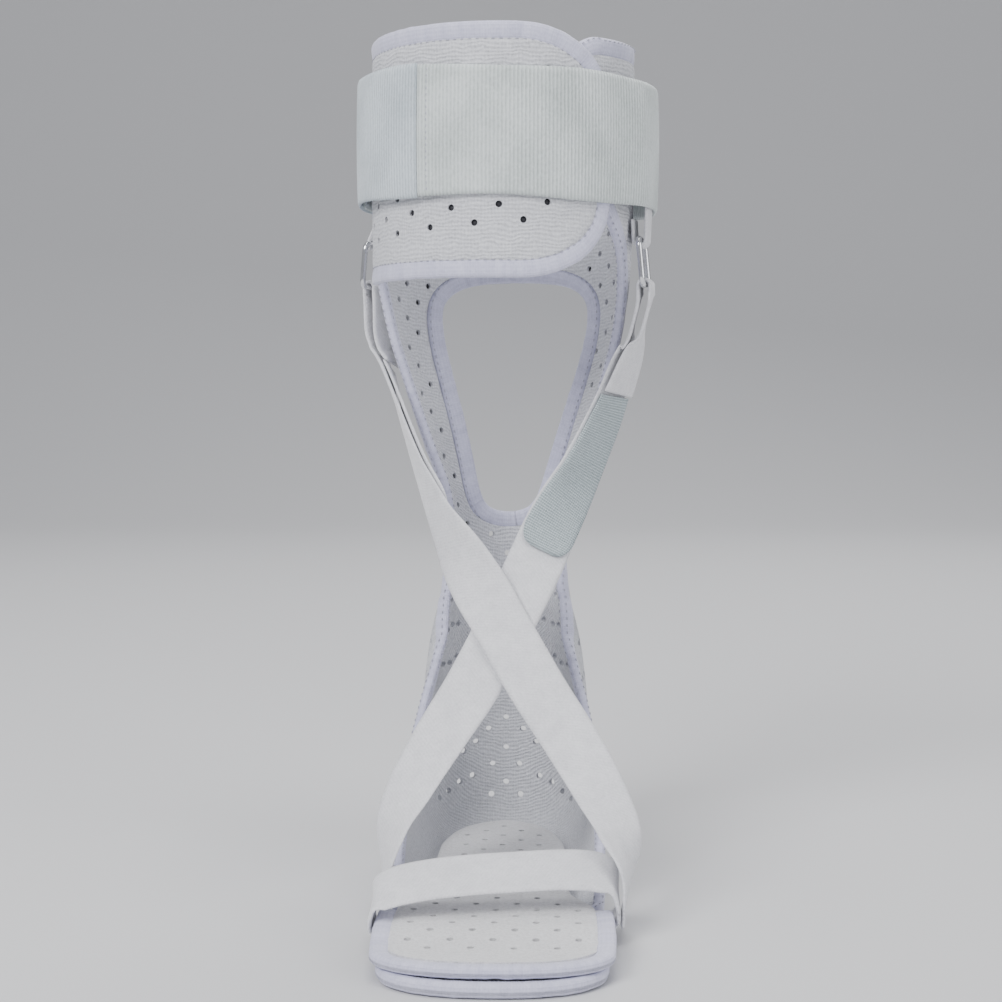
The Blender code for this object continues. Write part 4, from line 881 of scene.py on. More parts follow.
def resample(path, values, count, closed=True):
    """Path and values at evenly spaced places."""
    loop, more = (np.vstack([v, v[:1]]) for v in (path, values)) if closed else (path, values)
    run = lengths(loop)
    want = np.linspace(0, run[-1], count, endpoint=not closed)
    pick = lambda v: np.stack([np.interp(want, run, v[:, k]) for k in range(3)], -1)
    return pick(loop), unit(pick(more))


# %% [markdown]
# ## The window in the back
# Between the uprights the shell is open. The opening's outline is a table of half widths, rounded
# by cutting its corners a few times, and then laid onto the back wall.

# %% The window's outline on the wall
def window_outline(grow, count=240):
    """Outline of the window as (x, 0, z), grown outwards by a distance."""
    shape = table(WINDOW_COLUMNS, WINDOW_SHAPE)
    low = WINDOW_TOP - WINDOW_HEIGHT
    half = np.stack([shape["half"] * WINDOW_WIDTH, 0 * shape["z"], low + shape["z"] * WINDOW_HEIGHT], -1)
    loop = np.vstack([half, (half * (-1, 1, 1))[-2:0:-1]])
    for _ in range(5):
        ahead = np.roll(loop, -1, 0)
        loop = np.stack([0.75 * loop + 0.25 * ahead, 0.25 * loop + 0.75 * ahead], 1).reshape(-1, 3)
    loop, _ = resample(loop, loop, count)
    tangent = unit(np.roll(loop, -1, 0) - np.roll(loop, 1, 0))
    away = np.stack([tangent[:, 2], 0 * tangent[:, 0], -tangent[:, 0]], -1)
    return loop + grow * away


def wall_at(x, z):
    """Points of the back wall's middle with given x and z, found by stepping the station."""
    start = len(SPINE_T) // 3
    t = np.interp(z, SPINE[start:, 2], SPINE_T[start:])
    for _ in range(14):
        angle = np.arcsin(np.clip(x / at("half", t), -0.999, 0.999))
        p = trough(t, angle)
        t = np.clip(t + (z - p[..., 2]) / 0.030, 0, LAST)
    return np.stack([x, p[..., 1], z], -1)


# %% [markdown]
# ## The padded shell
# The shell's grid has a point about every two millimetres. Its thickness dips at the punched holes
# and along the tapes, and the window is cut out with the same outline that carries its tape.

# %% The shell panel
SHELL_PITCH = 0.0156
SHELL_PHASE = 0.0000
EDGE_TUCK = 0.0012
SOLE_MARGIN = 0.0170       # the panel is whole below this height


def shell_grid():
    """Fine grid of the shell inside its tape, with distances along and across it."""
    inset = BOUND_EDGE - EDGE_TUCK
    start, end = inset, SPINE_LENGTH[-1] - inset
    body = np.linspace(start, end - 0.016, 270)
    top = end - 0.016 * (1 - np.sin(np.linspace(0, np.pi / 2, 14)))
    along = np.concatenate([body, top[1:]])
    across = np.sin(np.linspace(-1, 1, 87) * np.pi / 2.25) / np.sin(np.pi / 2.25)
    grid, aside = shell_rows(np.interp(along, SPINE_LENGTH, SPINE_T), across, inset)
    return turned(grid), aside, along


def shell_holes(grid, aside, along, normals):
    """Centres and normals of the shell's holes: lattice places clear of the edges and the window."""
    zero = np.interp(0.0607, SPINE[300:, 2], SPINE_LENGTH[300:]) + SHELL_PHASE
    places = lattice_places(np.array((-0.10, -0.06)), np.array((0.10, 0.40)), SHELL_PITCH, SHELL_PITCH)
    row = np.interp(places[:, 1] + zero, along, np.arange(len(along)))
    i = np.clip(row.astype(int), 0, len(along) - 2)
    nearest = np.abs(aside[i] - places[:, :1]).argmin(1)
    centre, normal = grid[i, nearest], normals[i, nearest]
    spare = np.minimum(aside[i, -1] - places[:, 0], places[:, 0] - aside[i, 0])
    window = window_outline(0.0)
    to_window = np.linalg.norm(grid[i, nearest][:, None] - turned(wall_at(window[:, 0], window[:, 2]))[None], axis=-1).min(1)
    flat = np.stack([np.interp(centre[:, 2], window[:120, 2], window[:120, 0]), np.abs(centre[:, 0])], -1)
    low, high = window[:, 2].min(), window[:, 2].max()
    in_window = (centre[:, 2] > low) & (centre[:, 2] < high) & (flat[:, 1] < flat[:, 0] + 0.002) & (centre[:, 1] > 0.02)
    keep = (spare > 0.0078) & (to_window > 0.0072) & ~in_window & (centre[:, 2] > SOLE_MARGIN)
    keep &= (places[:, 1] + zero < along[-1] - 0.008)
    return centre[keep], normal[keep], zero


def make_shell():
    grid, aside, along = shell_grid()
    normals = grid_normals(grid)
    centres, directions, zero = shell_holes(grid, aside, along, normals)
    da, db = lattice(aside, np.broadcast_to((along - zero)[:, None], aside.shape), SHELL_PITCH, SHELL_PITCH)
    dimple = 1 - dimples(da, db) * (grid[..., 2] > SOLE_MARGIN)
    edge = np.minimum(aside[:, -1:] - aside, aside - aside[:, :1])
    ends = np.minimum(along - along[0], along[-1] - along)[:, None]
    thick = PANEL * dimple * rim(np.minimum(edge, ends) + PAD_START, PAD_EDGE)
    uv = np.stack(np.broadcast_arrays(aside, along[:, None]), -1)
    piece = padded_panel("shell_panel", grid, thick, uv, normals)
    outline = window_outline(BOUND_EDGE - EDGE_TUCK, 160)
    ring = wall_at(outline[:, 0], outline[:, 2])
    points = np.vstack([turned(ring + (0, reach, 0)) for reach in (-0.02, 0.02)])
    n = len(outline)
    side = [(i, (i + 1) % n, n + (i + 1) % n, n + i) for i in range(n)]
    cutter = mesh_piece("window_cutter", points, side + [tuple(range(n))[::-1], tuple(range(n, 2 * n))])
    cutter.data.flip_normals() if signed_volume(cutter) < 0 else None
    cut(piece, cutter)
    cut(piece, prisms("holes", centres, directions, HOLE, PUNCH))
    finish_piece(piece, KNIT, ["shell"])
    # Holes above 0.15 m get a near-black disc: painted shade where the holes in the uprights look dark inside; the heel
    # holes stay open and let the light through.
    dark = centres[:, 2] > 0.150
    shade_discs = prisms("shell_hole_shade", centres[dark], directions[dark], HOLE * SHADE_DISC_SHARE, 0.0005, SHADE_DISC_SIDES)
    finish_piece(shade_discs, HOLE_SHADE)
    print("shell holes:", len(centres))


def signed_volume(obj):
    """Volume that the faces enclose, negative when they point inwards."""
    mesh = obj.data
    mesh.calc_loop_triangles()
    corners = np.zeros(len(mesh.loop_triangles) * 3, int)
    mesh.loop_triangles.foreach_get("vertices", corners)
    co = np.zeros(len(mesh.vertices) * 3)
    mesh.vertices.foreach_get("co", co)
    a, b, c = (co.reshape(-1, 3)[corners.reshape(-1, 3)[:, k]] for k in range(3))
    return (np.cross(a, b) * c).sum() / 6


make_shell()


# %% The shell's edge tape and the window's tape
def shell_outline():
    """Middle line of the edge tape, once round the shell, with the surface normals."""
    t = np.concatenate([np.linspace(0, LAST - 1, 300), LAST - 1 + np.sin(np.linspace(0, np.pi / 2, 60))[1:]])
    grid, _ = shell_rows(t, np.sin(np.linspace(-np.pi / 2, np.pi / 2, 81)))
    normal = grid_normals(grid)
    return [np.vstack([g[1:, -1], g[-1, -2::-1], g[-2::-1, 0], g[0, 1:]]) for g in (grid, normal)]


def make_edge_tapes():
    path, normal = shell_outline()
    wall = FOOT_SECTIONS[FLAT_UNTIL][0] * FOOT_LENGTH + WALL_BLEND
    flat = np.clip((wall - path[:, 1]) / WALL_BLEND, 0, 1)[:, None] * (path[:, 2:] < 0.01)
    normal = unit(normal * (1 - flat) + flat * UP)
    path, normal = resample(path, normal, 760)
    path = turned(path) + (0, 0, BINDING_THICK / 2 - PANEL_MIDDLE)
    toe = ease((-0.135 - path[:, 1]) / 0.03) * (path[:, 2] < 0.02)
    thick = BINDING_THICK * (1 + 0.16 * toe)
    tangent = unit(np.roll(path, -1, 0) - np.roll(path, 1, 0))
    square = unit(normal - (normal * tangent).sum(-1, keepdims=True) * tangent)
    tilt = np.abs(np.cross(square, tangent)[:, 2]) * BINDING_WIDTH + np.abs(square[:, 2]) * thick
    path[:, 2] = np.maximum(path[:, 2], tilt / 2 + 0.0001)
    piece, free = folded_tape("shell_edge", path, square, BINDING_WIDTH, thick, seed=3)
    finish_piece(piece, TRICOT, ["shell_binding"])
    for name, side in (("inside", 1), ("outside", -1)):
        seam = path - free * (BINDING_WIDTH / 2 - 0.0006) + square * side * (PANEL_MIDDLE * 0.86)
        stitches("shell_stitches_" + name, seam, square * side, closed=True)
    outline = window_outline(0.0, 420)
    path = wall_at(outline[:, 0], outline[:, 2])
    step = 0.001
    right = wall_at(outline[:, 0] + step, outline[:, 2]) - wall_at(outline[:, 0] - step, outline[:, 2])
    above = wall_at(outline[:, 0], outline[:, 2] + step) - wall_at(outline[:, 0], outline[:, 2] - step)
    normal = unit(np.cross(above, right))
    far = turned(path + 0.01 * normal)
    path = turned(path)
    normal = unit(far - path)
    piece, free = folded_tape("window_edge", path, normal, BINDING_WIDTH, BINDING_THICK, seed=7)
    finish_piece(piece, TRICOT, ["window_binding"])
    for name, side in (("outside", 1), ("inside", -1)):
        seam = path - free * (BINDING_WIDTH / 2 - 0.0006) + normal * side * (PANEL_MIDDLE * 0.86)
        stitches("window_stitches_" + name, seam, normal * side, closed=True)


make_edge_tapes()


# %% [markdown]
# ## The front flap
# The flap is sewn to the shell's left edge, lies round the front of the calf and laps over the
# right edge of the shell. It is the calf part's own surface, lifted off where it passes the edge.

# %% Points round the calf
def cuff_grid(t, angle, lift):
    """Points round the calf at stations t and angles from the back, lifted off its middle."""
    t, angle = np.broadcast_arrays(np.asarray(t, float), np.asarray(angle, float))
    full = np.maximum(t, CUFF_FROM)
    p = trough(full, angle)
    p[..., 2] = at("z", t) + (1 - np.cos(angle)) * (at("edge_z", t) - at("z", t))
    away = np.stack([
        np.sin(angle) / at("half", full),
        np.cos(angle) / (at("y", full) - at("edge_y", full)),
        np.zeros_like(angle),
    ], -1)
    return p + unit(away) * np.asarray(lift, float)[..., None]


def cuff_station(z):
    """Station whose side point lies at height z."""
    t = np.linspace(len(FOOT_SECTIONS) + 4, LAST + 1.5, 400)
    grown = np.minimum(t, LAST)
    step = STATIONS["edge_z"][LAST] - STATIONS["edge_z"][LAST - 1]
    return np.interp(z, at("edge_z", grown) + (t - grown) * step, t)


FLAP_LENGTH = (FLAP_ANGLES[1] - FLAP_ANGLES[0]) * CUFF_RADIUS


def flap_point(run, height, lift=0.0):
    """Flap middle at a share of its run round the leg and a height above its lower edge."""
    angle = FLAP_ANGLES[0] + run * (FLAP_ANGLES[1] - FLAP_ANGLES[0])
    z = FLAP_TOP - FRONT_RISE - FLAP_HEIGHT + height
    first, last = np.radians((FLAP_OVER_FROM, FLAP_OVER_TO))
    off = FLAP_LIFT * ease((np.abs(angle) - first) / (last - first))
    p = cuff_grid(cuff_station(z), -angle, off + lift)
    p[..., 2] = z - FRONT_RISE * np.cos(angle)
    return p


def flap_end(height, inset):
    """Share of the flap's run where it ends at a height, with rounded corners."""
    tall = FLAP_CORNER - inset
    low = np.clip(1 - (height - inset) / tall, 0, 1)
    high = np.clip(1 - (FLAP_HEIGHT - inset - height) / tall, 0, 1)
    far = np.maximum(low, high)
    return 1 - (inset + (FLAP_CORNER_RUN - inset) * (1 - np.sqrt(1 - far * far))) / FLAP_LENGTH


# %% The flap panel and its tape
FLAP_PITCH = (0.0181, 0.0151)
FLAP_PHASE = (0.0100, 0.0203)
FLAP_SLOPE = 0.10


def flap_lattice(along, height):
    """Lattice coordinates of a place on the flap.

    Its rows climb towards the free end by FLAP_SLOPE at the bottom edge, and run level at the top.
    """
    climb = FLAP_SLOPE * along * (1 - height / FLAP_HEIGHT)
    return along - FLAP_PHASE[0], height - FLAP_PHASE[1] - climb


def make_flap():
    inset = BOUND_EDGE - EDGE_TUCK
    rise = 0.5 - 0.5 * np.cos(np.linspace(0, np.pi, 56))
    height = inset + rise * (FLAP_HEIGHT - 2 * inset)
    run = np.linspace(0, 1, 110)[None] * flap_end(height, inset)[:, None]
    height = np.broadcast_to(height[:, None], run.shape)
    grid = turned(flap_point(run, height))
    ahead = turned(flap_point(run, height, 0.001))
    normals = unit(ahead - grid)
    along = run * FLAP_LENGTH
    da, db = lattice(*flap_lattice(along, height), *FLAP_PITCH)
    dimple = 1 - dimples(da, db)
    edge = np.minimum(np.minimum(height - inset, FLAP_HEIGHT - inset - height), along[:, -1:] - along)
    thick = FLAP_THICK * dimple * rim(edge + PAD_START, PAD_EDGE)
    piece = padded_panel("flap_panel", grid, thick, np.stack([along, height], -1), normals)
    places = lattice_places(np.array((-0.05, -0.12)), np.array((0.16, 0.12)), *FLAP_PITCH)
    at_run = (places[:, 0] + FLAP_PHASE[0]) / FLAP_LENGTH
    climb = FLAP_SLOPE * at_run * FLAP_LENGTH
    at_height = (places[:, 1] + FLAP_PHASE[1] + climb) / (1 + climb / FLAP_HEIGHT)
    inside = (at_height > 0.0125) & (at_height < FLAP_HEIGHT - 0.0105) & (at_run > 0.05)
    at_run, at_height = at_run[inside], at_height[inside]
    inside = at_run < flap_end(at_height, 0.0125)
    at_run, at_height = at_run[inside], at_height[inside]
    centres = turned(flap_point(at_run, at_height))
    directions = unit(turned(flap_point(at_run, at_height, 0.001)) - centres)
    cut(piece, prisms("holes", centres, directions, HOLE, PUNCH))
    finish_piece(piece, KNIT, ["front_flap"])
    # Each flap hole gets a near-black disc: painted shade for the dark inside of the hole.
    shade_discs = prisms("flap_hole_shade", centres, directions, HOLE * SHADE_DISC_SHARE, 0.0004, SHADE_DISC_SIDES)
    finish_piece(shade_discs, HOLE_SHADE)
    side = 0.5 - 0.5 * np.cos(np.linspace(0, np.pi, 120))
    side_height = side * FLAP_HEIGHT
    side_run = flap_end(side_height, 0.0)
    level = np.linspace(0, 1, 160)
    run = np.concatenate([level * side_run[0], side_run[1:-1], level[::-1] * side_run[-1]])
    height = np.concatenate([0 * level, side_height[1:-1], 0 * level + FLAP_HEIGHT])
    path = flap_point(run, height)
    normal = unit(flap_point(run, height, 0.001) - path)
    path, normal = resample(path, normal, 420, closed=False)
    ahead = turned(path + 0.01 * normal)
    path = turned(path)
    normal = unit(ahead - path)
    piece, free = folded_tape("flap_edge", path, normal, BINDING_WIDTH, FLAP_BINDING + 0.0006, closed=False, seed=11)
    finish_piece(piece, TRICOT, ["flap_binding"])
    seam = path - free * (BINDING_WIDTH / 2 - 0.0006) + normal * FLAP_THICK * 0.43
    stitches("flap_stitches", seam, normal)
    print("flap holes:", len(centres))


make_flap()


# %% [markdown]
# ## The calf strap
# A wide strap of loop fabric is sewn down near the left of the flap, goes right round the calf and
# comes back under its own tab. It stands off the shell at the right, where the ring hangs.

# %% Straps round the calf
def strap_band(name, stops, lifts, first, last, thick, width, rows):
    """A band round the calf between two angles in degrees, at lifts given along it."""
    angle = np.radians(np.linspace(first, last, rows))
    lift = smooth(angle, np.radians(stops), lifts)
    share = np.linspace(-0.5, 0.5, 34)
    z = STRAP_MIDDLE + width * share
    level = cuff_station(z)
    sag = 0.0006 * np.sin(3.1 * angle + 0.6)[:, None] * np.cos(np.pi * share)[None]
    crown = 0.0005 * (1 - (2 * share) ** 2)[None]
    off = lift[:, None] + crown + sag * 0.5
    grid = cuff_grid(level[None] + 0 * off, -angle[:, None] + 0 * off, off)
    wander = 0.0005 * np.sin(5.0 * angle + 1.0)[:, None] * (2 * share[None])
    grid[..., 2] = z - FRONT_RISE * np.cos(angle[:, None]) + STRAP_SLANT * np.sin(angle[:, None]) + wander
    grid = turned(grid)
    run = lengths(grid[:, 17])
    edge = (0.5 - np.abs(share))[None] * width
    ends = np.minimum(run, run[-1] - run)[:, None]
    uv = np.stack(np.broadcast_arrays(run[:, None], width * share[None]), -1)
    body = padded_panel(name, grid, thick * rim(np.minimum(edge, ends), 0.0014), uv)
    return body, grid, run[-1]


def make_calf_strap():
    stops = (SEAM, 180, 235, 254, 288, 335, 355, 375, 395, STRAP_RETURN)
    lifts = (OVER_FLAP, OVER_FLAP, OVER_FLAP, RIGHT_LIFT, RIGHT_LIFT, AT_BACK + STRAP_EASE,
             AT_BACK, AT_BACK + STRAP_EASE, UNDER_TAB, UNDER_TAB)
    strap, grid, length = strap_band("calf_band", stops, lifts, SEAM, STRAP_RETURN, STRAP_THICK, STRAP_WIDTH, 420)
    finish_piece(strap, LOOP, ["calf_strap"])
    normals = grid_normals(grid)
    side = np.sign((normals[5, 17] * (grid[5, 17] - (0, 0, grid[5, 17, 2]))).sum())
    near = 6
    stitches("strap_seam", grid[near, 1:-1] + side * normals[near, 1:-1] * STRAP_THICK * 0.5,
             side * normals[near, 1:-1], 0.0026, 0.9)
    meets = SEAM - np.degrees(GAP / CUFF_RADIUS)
    stops = (TAB_START, 60, 90, 115, meets)
    lifts = (TAB_LIFT, TAB_LIFT, TAB_LIFT, TAB_LIFT, OVER_FLAP)
    tab, grid, length = strap_band("calf_tab", stops, lifts, TAB_START, meets, TAB_THICK, STRAP_WIDTH + 4 * GAP, 130)
    finish_piece(tab, TAB, ["calf_strap_tab"])


make_calf_strap()


# %% [markdown]
# ## Rings and their webbing
# Each crossed strap turns over the lower bar of a rectangular wire ring. A short webbing loop holds
# the ring's upper bar and is sewn down under the calf strap.

# %% The rings
def side_frame(word):
    """Outward and sideways directions and the middle of the cuff wall behind a ring."""
    angle = RING_ANGLES[word]
    t = cuff_station(RING_HANG)
    point = cuff_grid(np.array(t), np.array(angle), np.array(0.0))
    out = unit(cuff_grid(np.array(t), np.array(angle), np.array(0.01)) - point)
    return out, np.cross(UP, out), point


def make_ring(word):
    """Round wire along a rounded rectangle, whose lower bar stands out a little further."""
    out, aside, point = side_frame(word)
    a = np.radians(np.concatenate([q + np.linspace(0, 90, 12) for q in (0, 90, 180, 270)]))
    straight = TAPE_WIDTH / 2 + 3 * GAP
    level = RING_HEIGHT / 2 - RING_CORNER
    along = RING_CORNER * np.cos(a) + straight * np.repeat((1, -1, -1, 1), 12)
    share = 0.5 - (RING_CORNER * np.sin(a) + level * np.repeat((1, 1, -1, -1), 12)) / RING_HEIGHT
    path = point + along[:, None] * aside + (UPPER_BAR + share * RING_SLOPE)[:, None] * out
    path[:, 2] = RING_HANG - share * RING_HEIGHT
    path, normal = resample(path, np.broadcast_to(out, path.shape), 160)
    path = turned(path)
    tangent = unit(np.roll(path, -1, 0) - np.roll(path, 1, 0))
    normal = unit(normal - (normal * tangent).sum(-1, keepdims=True) * tangent)
    other = np.cross(tangent, normal)
    b = np.linspace(0, 2 * np.pi, 16, endpoint=False)
    points = path[:, None] + RING_WIRE / 2 * (np.cos(b)[None, :, None] * normal[:, None] + np.sin(b)[None, :, None] * other[:, None])
    flat = points.reshape(-1, 3)
    faces = outward(flat, quads(160, 16, True, True))
    finish_piece(mesh_piece("wire_ring_" + word, flat, faces.tolist()), CHROME, ["ring_" + word])


def make_ring_loop(word):
    """Webbing from under the calf strap, round the ring's upper bar and up again behind."""
    out, aside, point = side_frame(word)
    under = LOOP_LIFT if word == "left" else RIGHT_LIFT - STRAP_THICK / 2 - GAP - TAPE_THICK / 2
    strap_low = STRAP_MIDDLE - STRAP_WIDTH / 2
    turn = np.linspace(0, np.pi, 24)
    down = np.linspace(strap_low + LOOP_HIDDEN, strap_low - LOOP_CLEAR, 16)
    rest = np.linspace(RING_HANG, RING_HANG + LOOP_END, 12)[1:]
    lift = np.concatenate([under + 0 * down, UPPER_BAR + BAR_REACH * np.cos(turn), LOOP_LIFT + 0 * rest])
    z = np.concatenate([down, RING_HANG - BAR_REACH * np.sin(turn), rest])
    shares = np.linspace(-0.5, 0.5, 14)
    flat = point + lift[:, None, None] * out + (shares * TAPE_WIDTH)[None, :, None] * aside
    flat[..., 2] = z[:, None]
    around = RING_ANGLES[word] + shares * TAPE_WIDTH / (CUFF_RADIUS + under)
    bent = cuff_grid(cuff_station(z)[:, None] + 0 * around, around[None, ::-1] + 0 * z[:, None], lift[:, None] + 0 * around)
    bent[..., 2] = z[:, None]
    if np.linalg.norm(bent[0, 0] - flat[0, 0]) > np.linalg.norm(bent[0, -1] - flat[0, 0]):
        bent = bent[:, ::-1]
    share = np.clip((z - RING_HANG) / (strap_low - LOOP_CLEAR - RING_HANG), 0, 1)[:, None, None]
    grid = turned(flat + (bent - flat) * share)
    run = lengths(grid[:, 7])
    edge = (0.5 - np.abs(shares))[None] * TAPE_WIDTH + 0 * z[:, None]
    uv = np.stack(np.broadcast_arrays(run[:, None], TAPE_WIDTH * shares[None]), -1)
    piece = padded_panel("webbing_" + word, grid, TAPE_THICK * rim(edge, 0.001), uv)
    finish_piece(piece, BRUSHED, ["ring_loop_" + word])


for word in ("left", "right"):
    make_ring(word)
    make_ring_loop(word)


# %% [markdown]
# ## The crossed straps
# Each strap leaves one side of the sole, crosses in front of the ankle, turns over the ring on the
# other side and comes back onto itself, where a hook patch holds it. The path is a table of places
# with the way the strap's face looks, and the return is the same path set off by the strap's own
# thickness.

# %% Paths of the crossed straps
def softened(values, first, times=6):
    """Evens out directions along a path from a given row on."""
    values = values.copy()
    for _ in range(times):
        values[first:-1] = unit(values[first - 1:-2] + values[first:-1] + values[first + 1:])
    return values


def cross_path(rows, side, count):
    """Middle of a crossed strap from the sole to just under its ring, with its face directions."""
    rows = table(CROSS_COLUMNS, rows)
    index = np.arange(len(rows["x"]))
    fine = np.linspace(0, index[-1], count)
    place = np.stack([
        side * ANCHOR_REACH * smooth(fine, index, rows["x"]),
        FOOT_LENGTH * smooth(fine, index, rows["y"]),
        BRACE_HEIGHT * smooth(fine, index, rows["z"]),
    ], -1)
    a = np.radians(smooth(fine, index, rows["facing"])) * side
    p = np.radians(smooth(fine, index, rows["pitch"]))
    return place, np.stack([np.sin(a) * np.cos(p), -np.cos(a) * np.cos(p), np.sin(p)], -1)


def tape_grid(path, direction, columns=16, width=TAPE_WIDTH):
    """Grid of a flat tape: its points lie along the width direction at each place of the path."""
    shares = np.linspace(-0.5, 0.5, columns)
    return path[:, None] + direction[:, None] * (shares * width)[None, :, None], shares * width


def make_cross_strap(name, rows, side, ring_word, back, free_end, hook_end, node, hook_cloth):
    """One tape and its hook patch. back is 1 where it returns on its outer face, -1 on the inner one."""
    fine = 6
    path, facing = cross_path(rows, side, 50 * fine)
    out, aside, point = side_frame(ring_word)
    bar = point + LOWER_BAR * out
    bar[2] = RING_HANG - RING_HEIGHT
    turn = np.linspace(np.pi, 0, 28)[:, None]
    over = bar + back * np.cos(turn) * BAR_REACH * out + np.sin(turn) * BAR_REACH * UP
    last = over[:1] - (0, 0, 2 * BAR_REACH)
    blend = np.linspace(0, 1, 5 * fine)[1:-1, None]
    main = np.vstack([path, path[-1] + blend * (last - path[-1]), last, over[:1] - (0, 0, BAR_REACH / 2)])
    face = np.vstack([facing, np.broadcast_to(out, (len(main) - len(facing), 3))])
    face = softened(face, len(facing) - 6 * fine, 6 * fine)
    gap = TAPE_THICK + 3 * GAP
    step = np.arange(len(main))[::-1] / fine
    spread = gap + (2 * BAR_REACH - gap) * np.exp(-((step / 9.0) ** 2))
    z = main[::-1, 2]
    keep = z > free_end
    returning = (main + back * face * spread[:, None])[::-1][keep]
    whole = np.vstack([main, over, returning])
    tangent = unit(np.gradient(whole, axis=0))
    n = len(main)
    first = unit(np.cross(tangent[:n], face))
    across = np.broadcast_to(aside * np.sign((first[-1] * aside).sum()), (len(over), 3))
    second = -unit(np.cross(tangent[n + len(over):], face[::-1][keep]))
    width = softened(np.vstack([first, across, second]), n - 3, 4)
    ahead = turned(whole + 0.01 * width)
    placed = turned(whole)
    grid, shares = tape_grid(placed, unit(ahead - placed))
    run = lengths(grid[:, 8])
    edge = np.minimum((TAPE_WIDTH / 2 - np.abs(shares))[None], np.minimum(run, run[-1] - run)[:, None])
    uv = np.stack(np.broadcast_arrays(run[:, None], shares[None]), -1)
    piece = padded_panel(name, grid, TAPE_THICK * rim(edge, 0.0011), uv)
    finish_piece(piece, BRUSHED, [node])
    keep = (z < free_end - 2 * GAP) & (z > hook_end)
    hooked = (main + back * face * (gap - GAP))[::-1][keep]
    ahead = turned(hooked + 0.01 * face[::-1][keep])
    placed = turned(hooked)
    facing = unit(ahead - placed)
    tangent = unit(np.gradient(placed, axis=0))
    run = lengths(placed)
    left = run[-1] - run
    r = TAPE_WIDTH / 2 * 0.8
    round_end = 1 - 0.55 * (1 - np.sqrt(np.clip(1 - np.clip(1 - left / r, 0, 1) ** 2, 0, 1)))
    shares = np.linspace(-0.5, 0.5, 16)
    direction = unit(np.cross(tangent, facing))
    grid = placed[:, None] + direction[:, None] * (shares[None] * TAPE_WIDTH * 0.97 * round_end[:, None])[..., None]
    uv = np.stack(np.broadcast_arrays(run[:, None], TAPE_WIDTH * shares[None]), -1)
    edge = np.minimum((0.5 - np.abs(shares))[None] * TAPE_WIDTH, np.minimum(run, left)[:, None])
    patch = padded_panel("hook_patch_" + ring_word, grid, HOOK_THICK * rim(edge, 0.0009), uv)
    finish_piece(patch, hook_cloth, ["hook_tab_" + ring_word])
    print(name, "length", lengths(main)[-1].round(3))


front_end, back_end = RING_HANG - FRONT_RETURN, RING_HANG - BACK_RETURN
make_cross_strap("cross_front", CROSS_FRONT, 1, "left", -1, front_end, front_end - FRONT_HOOK, "cross_strap_front",
                  BRUSHED)
make_cross_strap("cross_back", CROSS_BACK, -1, "right", 1, back_end, back_end - BACK_HOOK, "cross_strap_back",
                  HOOK)


# %% [markdown]
# ## The insole and the forefoot strap
# A fleece insole lies on the sole, bound at its front. A loop of tape passes under it and arches
# over the forefoot.

# %% The insole
INSOLE_PITCH = (0.0164, 0.0170)
INSOLE_START = 0.0006


def insole_level(y):
    """Height of the insole's middle, which eases down towards the toe."""
    front = FOOT_SECTIONS[0][0] * FOOT_LENGTH + DIP_FROM
    return INSOLE_MIDDLE - INSOLE_DIP * ease((front - y) / DIP_LENGTH)


def insole_grid(y_share, across, inset):
    """Insole points before they are turned, rows bowed at the toe by 1 - (1 - x^p)^(1/p)."""
    rows = table(INSOLE_COLUMNS, INSOLE_SHAPE)
    half = INSOLE_WIDTH * smooth(y_share, rows["y"], rows["half"]) - inset
    bow = FOOT_LENGTH * smooth(y_share, rows["y"], rows["bow"])
    arc = 1 - (1 - np.minimum(np.abs(across[None]), 1) ** TOE_ROUND) ** (1 / TOE_ROUND)
    x = half[:, None] * across[None]
    y = FOOT_LENGTH * y_share[:, None] + bow[:, None] * arc
    return np.stack([x, y, insole_level(y)], -1)


def make_insole():
    inset = BOUND_EDGE - EDGE_TUCK
    first, last = INSOLE_SHAPE[0][0] + inset / FOOT_LENGTH, INSOLE_SHAPE[-1][0]
    y = first + (last - first) * np.sin(np.linspace(0, np.pi / 2, 150))
    across = np.sin(np.linspace(-np.pi / 2, np.pi / 2, 61))
    grid = insole_grid(y, across, inset)
    edge = np.abs(grid[:, :1, 0]) - np.abs(grid[..., 0])
    swell = 1 + 0.05 * np.sin(grid[..., 0] * 160) * np.sin(grid[..., 1] * 90)
    thick = INSOLE_THICK * swell * rim(edge + INSOLE_START, PAD_EDGE)
    piece = padded_panel("insole_pad", turned(grid), thick, grid[..., :2])
    places = lattice_places(np.array((-0.05, -0.19)), np.array((0.05, 0.03)), *INSOLE_PITCH)
    half = INSOLE_WIDTH * smooth(places[:, 1] / FOOT_LENGTH, *(table(INSOLE_COLUMNS, INSOLE_SHAPE)[k] for k in ("y", "half")))
    keep = (np.abs(places[:, 0]) < half - 0.010) & (places[:, 1] > -0.168) & (places[:, 1] < 0.018)
    centres = turned(np.stack([places[keep, 0], places[keep, 1], insole_level(places[keep, 1])], -1))
    up = np.broadcast_to(UP, centres.shape)
    cut(piece, prisms("holes", centres, up, HOLE, PUNCH))
    finish_piece(piece, FLEECE, ["insole"])
    # The insole's holes get near-black discs as well: painted shade for the dark inside of each hole.
    finish_piece(prisms("insole_hole_shade", centres, up, HOLE * SHADE_DISC_SHARE, 0.0004, SHADE_DISC_SIDES), HOLE_SHADE)
    y = np.linspace(INSOLE_SHAPE[0][0], INSOLE_BOUND, 90)
    grid = insole_grid(y, np.sin(np.linspace(-np.pi / 2, np.pi / 2, 121)), 0.0)
    path = turned(np.vstack([grid[::-1, 0], grid[0, 1:-1], grid[:, -1]]))
    path, normal = resample(path, np.broadcast_to(UP, path.shape), 320, closed=False)
    piece, free = folded_tape("insole_edge", path, normal, BINDING_WIDTH, BINDING_THICK, closed=False, seed=23)
    finish_piece(piece, TRICOT, ["insole_binding"])


make_insole()


